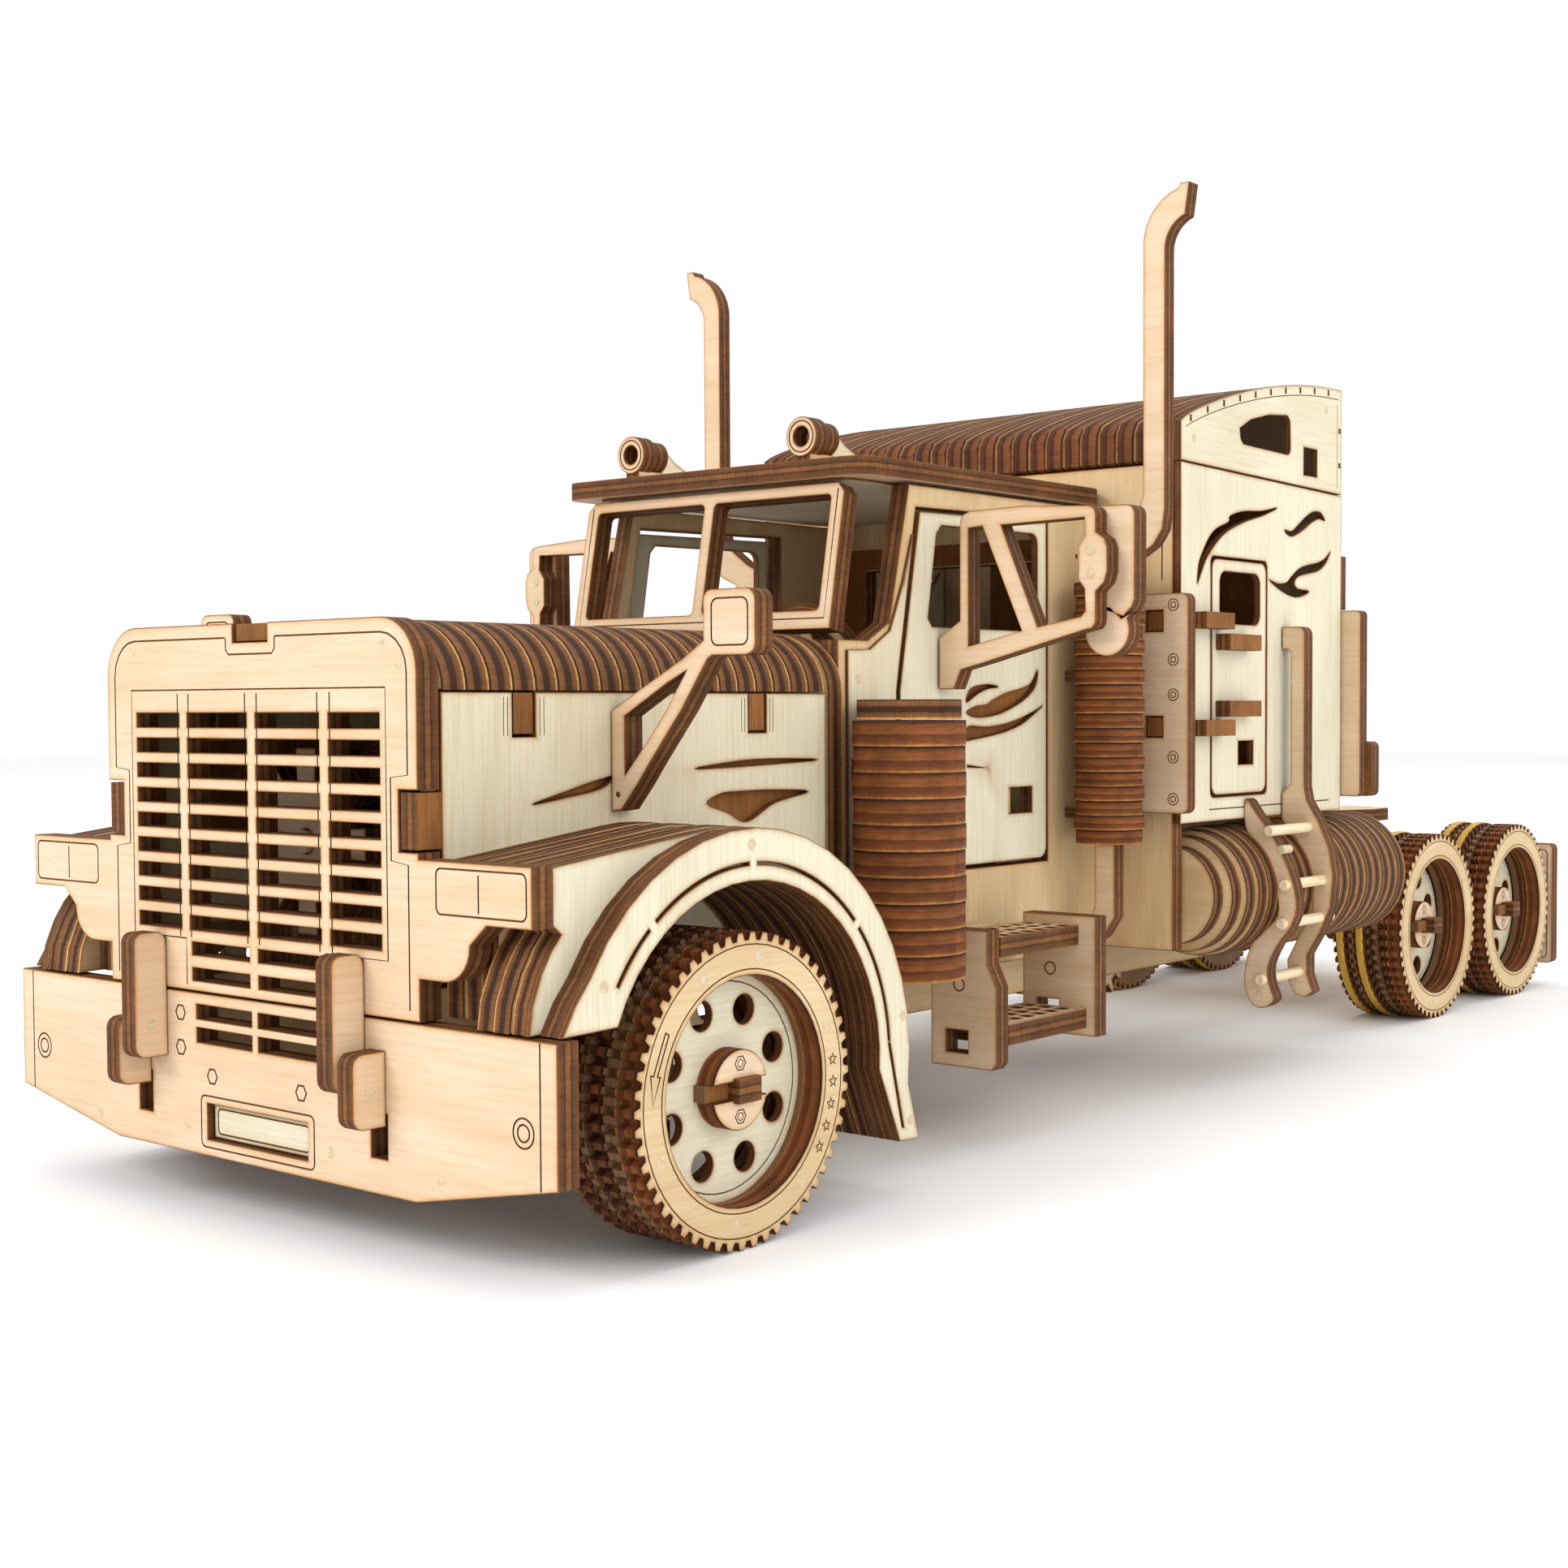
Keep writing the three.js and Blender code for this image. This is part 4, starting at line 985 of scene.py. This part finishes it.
def doors():
    for side, mirror in SIDES:
        body = f"door_{side}"
        piece = Piece(f"door_{side}_sheets", body, mirror)
        outline = [(113.6, 52), *arc(115.6, 52.2, 2, 180, 270, 4), *arc(159.8, 52.6, 2.4, -90, 0, 5),
                   (162.2, 118.2), (119.8, 117.4), (113.6, 84)]
        window = [(122.3, 97.6), (123.6, 96), *arc(157, 98, 2, -90, 0, 4), *arc(157, 113.6, 2, 0, 90, 4),
                  (126.6, 115.2), (125, 113.6)]
        handle = rect(148.8, 59.6, 157, 64.8)
        piece.x(outline, CAB_HALF - 1.0, CAB_HALF + 0.4, holes=[window, handle, *door_flames()],
                face="pale", grain="v", tone=0.15)
        inner = [(116, 52.4), (159.8, 52.4), (159.8, 70), (116, 70)]
        piece.x(inner, CAB_HALF - 3.0, CAB_HALF - 1.1, face="birch_in_shade", holes=[rect(151.6, 59, 157.4, 65)])
        # A thin dark sheet just inside the door, behind its flame cut-outs: painted shade, so the cut-outs
        # look dark inside.
        piece.x(rect(126, 72, 161.4, 90), CAB_HALF - 1.6, CAB_HALF - 1.05, face="edge")
        piece.done(f"door_{side}", slot="thin_ply")
        door_mirror(side, mirror)


def door_mirror(side, mirror):
    """Open frame on the door, a knuckle with two pins, and the mirror plate with its round lower mirror."""
    piece = Piece(f"door_mirror_{side}_sheets", f"door_{side}", mirror)
    frame = [(38.9, 84.2), (42.4, 84.2), (44, 87.8), (50, 89.2), (71.5, 94.6),
             *arc(72, 96.4, 1.8, -60, 0, 3), (73.8, 101.4), (75.6, 103), (76.2, 105), (76.2, 109.2),
             (75.6, 110.8), (73.8, 112), (73.8, 115.2), *arc(72.2, 115.2, 1.6, 0, 90, 3), (58, 117.6),
             (46, 117.4), *arc(45.8, 115.2, 2, 95, 180, 4), (43.8, 97), (38.9, 94)]
    windows = [[(45.8, 92.2), (57.8, 94.8), (49, 114.4), (45.8, 114.2)],
               [(61.3, 95.4), (70.6, 97), (71.6, 98), (71.4, 102), (70.1, 103.6), (70.1, 109.6),
                (71.6, 111.6), (71.4, 114.7), (53.2, 114.4)]]
    piece.y(frame, 125, 128.8, holes=windows, tone=0.1)
    piece.pins("Y", [(72.7, 108.9), (72.7, 104.8)], 124.9, 128.8)
    glass = [(70.4, 99), (77, 97), (78.8, 98.6), (79.4, 100), (79.4, 115), *arc(77.6, 115.2, 1.8, 0, 90, 4),
             *arc(72.4, 115.2, 1.8, 90, 180, 4)]
    piece.y(glass, 129.1, 133.2, tone=0.2)
    disc = [*arc(73.6, 94.6, 4.7, 150, 385, 20), (78.4, 97.4), (76.6, 96.6), (74.2, 98.8), (70.6, 98.7)]
    piece.y(disc, 129.1, 133.2, tone=0.2)
    piece.done(f"door_mirror_{side}")


def cab_roof():
    piece = Piece("cab_roof_sheets", "truck")
    outline = round_rect(-ROOF_HALF, 101.8, ROOF_HALF, CAB_BACK, 5)
    lines = [stroke(round_rect(-36.6, 104.6, 36.6, 180.4, 3.4), closed=True)]
    lines += [dot(s * x, y) for s in (-1, 1) for x, y in ((33, 108), (33, 177), (33, 142))]
    lines += [stroke(round_rect(-9, 131, 9, 153, 1.5), closed=True)]
    piece.z(outline, CAB_TOP + 0.75, CAB_TOP + 4.1, lines=lines, tone=0.1)
    piece.z(round_rect(-33, 104.6, 33, CAB_BACK - 0.2, 4), CAB_TOP + 0.3, CAB_TOP + 0.7, face="pale")
    piece.done("cab_roof")


def horns():
    for side, mirror in SIDES:
        piece = Piece(f"horn_{side}_sheets", "truck", mirror)
        x, z = 22.3, 131.2
        piece.y(ring(x, z, 3.7, 32), 104.6, 108.4, holes=[ring(x, z, 1.9, 20)], tone=0.1,
                lines=[stroke(ring(x, z, 2.9, 28), closed=True)])
        piece.y(ring(x, z, 3.1, 28), 108.5, 112.2, holes=[ring(x, z, 1.2, 16)], face="birch_in_shade")
        fin = [(112.3, 126.6), (127.4, 126.6), (127.8, 127.4), (121, 128.6), (116.6, 130.6), (113.4, 133),
               (112.3, 133)]
        piece.x(fin, 21.5, 23.1, face="pale")
        piece.x(rect(105, 126.5, 112, 128.2), 20.6, 24.0, face="birch")
        piece.done(f"horn_{side}")


def cabin():
    piece = Piece("cab_floor_sheets", "truck")
    piece.z(rect(-33.7, 100.4, 33.7, 182), 42, 46, face="birch_in_shade")
    piece.z(rect(-30, 182.1, 30, 189), 42, 46, face="birch_in_shade")
    piece.z(rect(-36, 189.1, 36, 253.5), 42, 46, holes=[rect(10, 191.5, 18, 236)], face="birch_in_shade")
    for y in (150, 240):
        piece.z(rect(-24, y, 24, y + 8), DECK, 41.9, face="birch_in_shade")
    piece.done("cab_floor")
    seats = Piece("seats_sheets", "truck")
    seats.z(rect(-26, 142, 26, 162), 46.3, 50.2, face="birch_in_shade")
    for s in (-1, 1):
        for i in range(5):
            a, b = span(s, 6 + i * 4.02, 9.8 + i * 4.02)
            side_view = [(141, 50.4), (159, 50.4), (163, 88), *arc(161, 90, 2, 0, 180, 5), (156, 60),
                         (143, 57.6), *arc(143, 55.6, 2, 90, 180, 3)]
            seats.x(side_view, a, b, face="birch_in_shade", edge="stack")
    seats.done("seats")
    wheel = Piece("steering_wheel_sheets", "steering_wheel")
    wheel.place = Matrix.Translation((13, 119, 91.5)) @ Matrix.Rotation(math.radians(-55), 4, "X")
    spokes = [arc(0, 0, 7.3, a + 12, a + 108, 8) + arc(0, 0, 3.4, a + 96, a + 24, 5)
              for a in (30, 150, 270)]
    wheel.z(ring(0, 0, 9.6, 44), 0, 3, holes=spokes, lines=[stroke(ring(0, 0, 8.4, 36), closed=True)],
            tone=0.1)
    wheel.rod("Z", 0, 0, 2.2, -11, -0.1)
    wheel.z(ring(0, 0, 2.4, 6), 3.1, 4.3)
    wheel.done("steering_wheel")


# ---- sleeper ----
def sleeper_top(y):
    t = min(max((y - SLEEPER_FRONT) / (SLEEPER_BACK - SLEEPER_FRONT), 0), 1)
    return 139.6 + 14.5 * math.sin(t * math.pi / 2) ** 0.8


def sleeper_walls():
    piece = Piece("sleeper_front_sheets", "truck")
    half = [(26, 112), (26, 46.3), (38, 46.3), (38, 30), (SLEEPER_IN, 30), (SLEEPER_IN, 131)]
    lines = [stroke([(s * 52.6, 107), (s * 52.6, 129)]) for s in (-1, 1)]
    piece.y(both(half), SLEEPER_FRONT, 187.9, lines=lines, face="birch_in_shade", grain="v", tone=0.2)
    for s in (-1, 1):
        a, b = span(s, 48.2, 60.7)
        rings = [stroke(ring(s * 57.2, z, r, 18), FINE, closed=True)
                 for z in (101.6, 90.4, 83.2, 70.4, 61.8) for r in (1.2, 0.6)]
        c, d = span(s, 50.6, 54.8)
        slots = [rect(c, z, d, z + 4.4) for z in (74.4, 96.2)]
        piece.y(round_rect(a, 58.8, b, 104, 1.6), 180.7, 183.7, lines=rings, holes=slots, tone=0.1)
        for z in (74.4, 96.2):
            c, d = span(s, 50.8, 54.6)
            piece.y(rect(c, z + 0.2, d, z + 4.2), 181.1, 183.6, face="edge")
    # A thin dark sheet on the cab-facing side of the sleeper's front wall: painted shade for the inside of
    # the cab, seen through the windscreen.
    shade_panel = [(-33, 90), (-26.2, 90), (-26.2, 112.4), (26.2, 112.4), (26.2, 90), (33, 90), (33, 117),
              (-33, 117)]
    piece.y(shade_panel, SLEEPER_FRONT - 0.4, SLEEPER_FRONT - 0.02, face="edge")
    piece.done("sleeper_front")
    piece = Piece("sleeper_rear_sheets", "truck")
    half = [(36, 44), (36, SIDE_BOTTOM), (SLEEPER_IN, SIDE_BOTTOM), (SLEEPER_IN, 149.6)]
    panel = round_rect(-44, 62, 44, 138, 3)
    ribs = [stroke([(x, 66), (x, 134)]) for x in range(-36, 37, 12)]
    lines = [stroke(panel, closed=True)] + ribs
    lines += [dot(s * 48, z) for s in (-1, 1) for z in (62, 142, 100)]
    piece.y(both(half), 253.9, 257.8, under=lines, face="birch", grain="v", tone=0.4)
    for s in (-1, 1):
        a, b = span(s, 50, 61.8)
        rings = [stroke(ring(s * 56, z, 1.3, 16), closed=True) for z in (66, 78, 90, 98)]
        piece.y(round_rect(a, 59.6, b, 103, 1.2), 258.4, 261.9, under=rings, tone=0.3)
        c, d = span(s, 54, 63)
        piece.y(round_rect(c, 59.6, d, 72.4, 1.4), 262.2, 266, face="edge", edge="edge")
        c, d = span(s, 52, 56.3)
        piece.y(rect(c, 103.3, d, 115.8), 258.4, 261.9, face="edge", edge="edge")
    # A thin dark sheet on the inside of the rear wall: painted shade for the sleeper's inside, seen through
    # the cut-outs in its sides.
    piece.y(rect(-40, 64, 40, 138), 253.4, 253.85, face="edge")
    piece.done("sleeper_rear")


LOCKER = (197, 221, 62, 112)    # the locker door: y from and to, z from and to
PEG = 3.4


def sleeper_sides():
    for side, mirror in SIDES:
        piece = Piece(f"sleeper_side_{side}_sheets", "truck", mirror)
        ys = [SLEEPER_BACK - i * 74 / 36 for i in range(37)]
        split = 131.2
        lower = [(SLEEPER_FRONT, SIDE_BOTTOM), (SLEEPER_BACK, SIDE_BOTTOM), (SLEEPER_BACK, 129.6),
                 (SLEEPER_FRONT, split)]
        y0, y1, z0, z1 = LOCKER
        arch = [(190.8, 106.4), (191.4, 110.4), (193.1, 113.1), (196, 116.4), (199.2, 118.4), (204.1, 120),
                (204.9, 121.4), (211.1, 122.8), (219, 123.4), (226, 124.6), (219.9, 122.6), (212.2, 120.8),
                (205.6, 118.8), (201.3, 116.9), (197.6, 114.4), (194.4, 111.5), (192.4, 108.6)]
        bulb = [(229.7, 120), (233, 119.9), (236.6, 121.7), (240.2, 123.7), (243.9, 125), (247.4, 125),
                (249.4, 123.4), (246.4, 123.6), (243, 122.6), (239, 120.8), (234.2, 119), (231.2, 119)]
        bird = [(222.6, 108.5), (226.6, 107.9), (230.5, 108.3), (233.1, 109.8), (236.7, 111.7),
                (240.9, 112.7), (245.9, 113.5), (249.7, 114.7), (252.3, 116.4), (249.7, 113.5),
                (245.9, 111.7), (241, 110.9), (236.1, 109.9), (234.5, 108.4), (236.1, 107.2),
                (241.6, 106.8), (236.7, 105.4), (232.5, 105.5), (227.6, 106.6)]
        holes = [round_rect(y0 - 0.5, z0 - 0.5, y1 + 0.5, z1 + 0.5, 1.4)]
        holes += [curve(f, 5) for f in (arch, bulb, bird)]
        lines = [stroke([(196, 59), (252, 59)])]
        piece.x(lower, SLEEPER_HALF - SKIN, SLEEPER_HALF, holes=holes, lines=lines, face="pale", grain="v",
                tone=0.1)
        fairing = [(SLEEPER_FRONT, split + 0.25), (SLEEPER_BACK, 129.9)] + [(y, sleeper_top(y)) for y in ys]
        window = [(209, 140.4), (209.4, 138.2), (210.6, 137.2), (230.8, 136.8),
                  *arc(230.8, 138.4, 1.6, -60, 0, 3), *arc(230.4, 143.6, 1.8, 0, 90, 4), (222, 144.6),
                  (214, 142.8)]
        trim = [(y, sleeper_top(y) - 2.3) for y in ys[1:-1]]
        tabs = [rect(y - 0.45, sleeper_top(y) - 1.9, y + 0.45, sleeper_top(y) - 0.5)
                for y in range(188, 256, 7)]
        tabs += [rect(256.2, z, 257.4, z + 1.2) for z in (136, 144)]
        lines = [stroke(trim, 0.2), stroke([(255.6, 131.2), (255.6, 150.6)], 0.2)] + [[t] for t in tabs]
        piece.x(fairing, SLEEPER_HALF - SKIN, SLEEPER_HALF, holes=[window, rect(238.8, 133, 245.4, 139.2)],
                lines=lines, face="pale", tone=0.6)
        piece.pins("X", [(189.4, 136.4), (250, 148.6)], SLEEPER_HALF - SKIN, SLEEPER_HALF)
        for z, end in ((97, 200), (74.6, 200.4)):
            piece.x(rect(188, z, end, z + PEG), SLEEPER_HALF + 0.1, SLEEPER_HALF + 3.9, face="edge")
        piece.done(f"sleeper_side_{side}", slot="thin_ply")
        leaf = Piece(f"locker_door_{side}_sheets", f"locker_{side}", mirror)
        window = round_rect(200.4, 98.4, 218.2, 109.5, 2.4)
        grip = rect(208.6, 68.2, 215.3, 73.3)
        leaf.x(round_rect(y0, z0, y1, z1, 2.2), SLEEPER_HALF - SKIN, SLEEPER_HALF, holes=[window, grip],
               face="pale", grain="v", tone=0.3)
        for z in (92.7, 78.6):
            leaf.x(rect(198.6, z, 212.4, z + PEG), SLEEPER_HALF + 0.1, SLEEPER_HALF + 3.6, face="edge",
                   edge="edge")
        leaf.done(f"locker_door_{side}", slot="thin_ply")


def sleeper_roof():
    """Long ribs side by side, each with a blunt nose over the front wall."""
    piece = Piece("sleeper_roof_ribs", "truck")
    count = 25
    pitch = 2 * SLEEPER_IN / count
    stations = [183.2, 184.6, 187, 190, 194, 199, 205, 212, 220, 229, 238, 248, 257.7]
    for i in range(count):
        x = -SLEEPER_IN + i * pitch
        drop = 0.35 if i % 2 else 0.0
        top = [(y, sleeper_top(y) - drop - (1.6 if y < 184 else 0)) for y in stations]
        under = [(y, sleeper_top(y) - PLY) for y in stations[:3:-1]]
        nose = [(183.0 + drop, 136), (183.0 + drop, 131.8), (184.4, 131.3), (188, 131.3)]
        rib = top[::-1] + nose + under[::-1]
        piece.x(rib, x + 0.04, x + pitch - 0.04, face="birch_in_shade", edge="rib")
    piece.done("sleeper_roof", slot="edge_ply")


# ---- outside fittings ----
def air_cleaners():
    for side, mirror in SIDES:
        piece = Piece(f"air_cleaner_{side}_stack", "truck", mirror)
        x, y = 50.2, 101
        for i in range(10):
            z = 33 + i * 4.56
            piece.z(ring(x, y, 10.1 if i % 2 else 9.95, 56), z + 0.04, z + 4.52, face="birch_in_shade", edge="round")
        piece.z(ring(x, y, 9.3, 52), 78.75, 82.2, edge="stack",
                lines=[stroke(ring(x, y, 7.4, 44), closed=True), dot(x, y, 1.1)], tone=0.2)
        for z in (44, 68):
            piece.x(rect(99, z, 103, z + 3.6), 38.4, 41, face="birch")
        piece.done(f"air_cleaner_{side}", slot="edge_ply")


def exhausts():
    for side, mirror in SIDES:
        piece = Piece(f"exhaust_{side}_sheets", "truck", mirror)
        y0, y1, x = 168.7, 172.3, 48.2
        outer = [(52.6, 106.2), (52.6, 109.4), (56.4, 111), (59.6, 113), (61.6, 116), (62.2, 120),
                 (62.2, 171), *arc(68.7, 171, 6.5, 180, 108, 9), (67.6, 183.4)]
        inner = [(65.6, 183.4), *arc(67.6, 172.4, 10.4, 104, 176, 9), (57.2, 123), (56, 119.6), (53, 116.8),
                 (49, 114), (45, 112), (45, 106.2)]
        piece.y(outer + inner, y0, y1, tone=0.15)
        pipe = [(45.8, 52.8), (45.8, 40), (44.6, 36.8), (42, 35), (38.5, 34.4), (38.5, 30.8), (43.6, 31.4),
                (47.8, 33.8), (50.6, 38), (50.6, 52.8)]
        piece.y(pipe, y0, y1, tone=0.3)
        for i in range(18):
            z = 53 + i * 2.94
            piece.z(ring(x, 170.5, 7.2 if i % 2 else 6.8, 40), z + 0.05, z + 2.9, face="birch_in_shade", edge="round")
        for z in (58, 86):
            piece.z(rect(38.5, 169, 41.4, 172), z, z + 2.2, face="birch")
        piece.done(f"exhaust_{side}")


def cab_steps():
    for side, mirror in SIDES:
        piece = Piece(f"cab_step_{side}_sheets", "truck", mirror)
        front = [(43.6, 14.8), (57.4, 14.8), (58.4, 16), (58.4, 30), (56.4, 34), (56.4, 40.2), (43.6, 40.2)]
        line = [stroke(ring(50, 30, 1.2, 14), closed=True)]
        piece.y(front, 116, 119.8, holes=[rect(47, 17.4, 52, 21.6)], lines=line, under=line)
        back = [(43.6, 17.4), (60.4, 17.4), (60.4, 40.6), (43.6, 40.6)]
        piece.y(back, 146.1, 150, holes=[rect(47, 20, 52, 24)], lines=line, under=line)
        for z0, z1, reach in ((19, 22.8, 58.4), (35, 38.8, 56.6)):
            steps = []
            for i in range(6):
                for j in range(3):
                    x, y = 45.6 + j * 3.9, 122 + i * 4
                    steps.append(round_rect(x, y, 48 + j * 3.9, 124.4 + i * 4, 0.3, 2))
            rim = stroke(rect(44.8, 121, reach - 1, 145), closed=True)
            piece.z(rect(44, 119.9, reach, 146), z0, z1, holes=steps, lines=[rim])
        piece.z(rect(38.7, 128, 43.9, 138), 35, 38.8, face="birch_in_shade")
        piece.done(f"cab_step_{side}")


def fuel_tanks():
    for side, mirror in SIDES:
        piece = Piece(f"fuel_tank_{side}_stack", "truck", mirror)
        dome = (10.4, 12.3, 13.4, 14)
        for i in range(20):
            y = 189.6 + i * 4.27
            waist = 208 < y < 213 or 226.4 < y < 232.4
            radius = 8.0 if waist else dome[i] if i < len(dome) else 14.3 if i % 2 else 14.05
            piece.y(ring(46 if waist else 51.4, 41, radius, 60), y + 0.1, y + 4.17, face="birch_in_shade",
                    edge="stack")
        piece.done(f"fuel_tank_{side}", slot="edge_ply")


def tank_steps():
    for side, mirror in SIDES:
        piece = Piece(f"tank_step_{side}_sheets", "truck", mirror)
        first = [(57.4, 54.6), (57.4, 60.8), (60.2, 57.5), (63.6, 53.4), (66.6, 48.4), (68.9, 42.8),
                 (69.7, 37.6), (68.2, 33.4), (65.2, 29.4), (63, 24.8), (63.2, 21), (64.4, 17.6), (62, 15.7),
                 (59.4, 16), (57.6, 18.8), (57.2, 22.4), (58.6, 28.6), (62, 32.2), (65.2, 36), (64.9, 41),
                 (62.6, 46.8), (60, 51.4)]
        second = [(57.3, 55.6), (60.6, 51.6), (63.8, 46.2), (65.2, 40.6), (64.8, 35.2), (61.6, 29.8),
                  (58.8, 24.2), (59, 19.6), (60.8, 16.5), (63.2, 16.2), (65, 17.5), (63.6, 21.4),
                  (63.6, 25.6), (66.8, 31), (69.2, 36.6), (69.8, 43.6), (68.8, 49.6), (66.2, 55.4),
                  (63.4, 60), (62.8, 63)]
        grab = [*arc(61, 96.6, 1.8, 0, 90, 4), (57.3, 98.4), (57.3, 93.4), *arc(58.2, 92.2, 1.2, 90, 0, 3),
                (59.4, 63.6), (57.3, 61.4)]
        piece.y(curve(first, 3), 211.1, 215, tone=0.1)
        piece.y(second + grab, 228.1, 232, tone=0.25)
        piece.pins("Y", [(65.9, 50), (67.6, 38), (61, 19)], 211.1, 215)
        for x, z in ((63.7, 54), (67.2, 42.5), (66.6, 34.2), (61.6, 21.8)):
            piece.rod("Y", x, z, 1.15, 209.6, 233.6)
        piece.done(f"tank_step_{side}")


# ---- stage ----
def stage():
    """The pale floor."""
    mesh = bpy.data.meshes.new("floor")
    mesh.from_pydata([(-3, -3, 0), (3, -3, 0), (3, 3, 0), (-3, 3, 0)], [], [(0, 1, 2, 3)])
    floor = bpy.data.objects.new("floor", mesh)
    paper = bpy.data.materials.new("floor_paper")
    paper.use_nodes = True
    paper.node_tree.nodes["Principled BSDF"].inputs["Base Color"].default_value = (0.93, 0.93, 0.93, 1)
    paper.node_tree.nodes["Principled BSDF"].inputs["Roughness"].default_value = 0.9
    mesh.materials.append(paper)
    bpy.context.scene.collection.objects.link(floor)


def lamp(name, position, target, size, watts, color=(1, 1, 1)):
    """A square soft light, in metres."""
    light = bpy.data.lights.new(name, "AREA")
    light.size = size
    light.energy = watts
    light.color = color
    holder = bpy.data.objects.new(name, light)
    holder.location = position
    holder.rotation_euler = (Vector(target) - Vector(position)).to_track_quat("-Z", "Y").to_euler()
    bpy.context.scene.collection.objects.link(holder)


def camera():
    """The view from the front left corner, low down."""
    yaw, pitch, roll = 0.6724, 0.0355, -0.0036
    view = Vector((-math.sin(yaw) * math.cos(pitch), math.cos(yaw) * math.cos(pitch), -math.sin(pitch)))
    right = Vector((math.cos(yaw), math.sin(yaw), 0))
    up = right.cross(view)
    right, up = math.cos(roll) * right + math.sin(roll) * up, -math.sin(roll) * right + math.cos(roll) * up
    data = bpy.data.cameras.new("camera")
    data.sensor_width = 36
    data.lens = 36 * 2551.3 / 1932
    data.shift_x = (966 - 1075.24) / 1932
    data.shift_y = (962.02 - 966) / 1932
    data.clip_start = 0.01
    holder = bpy.data.objects.new("camera", data)
    holder.matrix_world = Matrix((
        (right.x, up.x, -view.x, 273.37 * MM),
        (right.y, up.y, -view.y, (-189.74 - MID) * MM),
        (right.z, up.z, -view.z, 80.865 * MM),
        (0, 0, 0, 1)))
    bpy.context.scene.collection.objects.link(holder)
    bpy.context.scene.camera = holder


def world():
    """Even white light from all round."""
    scene = bpy.context.scene
    scene.world = bpy.data.worlds.new("studio")
    scene.world.use_nodes = True
    scene.world.node_tree.nodes["Background"].inputs["Color"].default_value = (1, 1, 1, 1)
    scene.world.node_tree.nodes["Background"].inputs["Strength"].default_value = 1.0
    scene.view_settings.view_transform = "Standard"


front_panel()
bumper()
hood()
hood_sides()
hood_mirrors()
fenders()
engine()
rails()
crossmembers()
fifth_wheel()
rear_bar()
front_wheels()
front_steering()
drive_wheels()
gears()
cowl()
windshield()
cab_sides()
doors()
cab_roof()
horns()
cabin()
sleeper_walls()
sleeper_sides()
sleeper_roof()
air_cleaners()
exhausts()
cab_steps()
fuel_tanks()
tank_steps()

stage()
world()
camera()
lamp("key", (-0.5, -1.5, 1.1), (0, 0, 0.06), 0.7, 15, (1, 0.98, 0.97))
lamp("side", (1.5, -0.3, 0.8), (0, 0, 0.06), 1.0, 7, (0.96, 0.98, 1))
lamp("back", (0.3, 1.4, 1.2), (0, 0, 0.06), 1.0, 8)
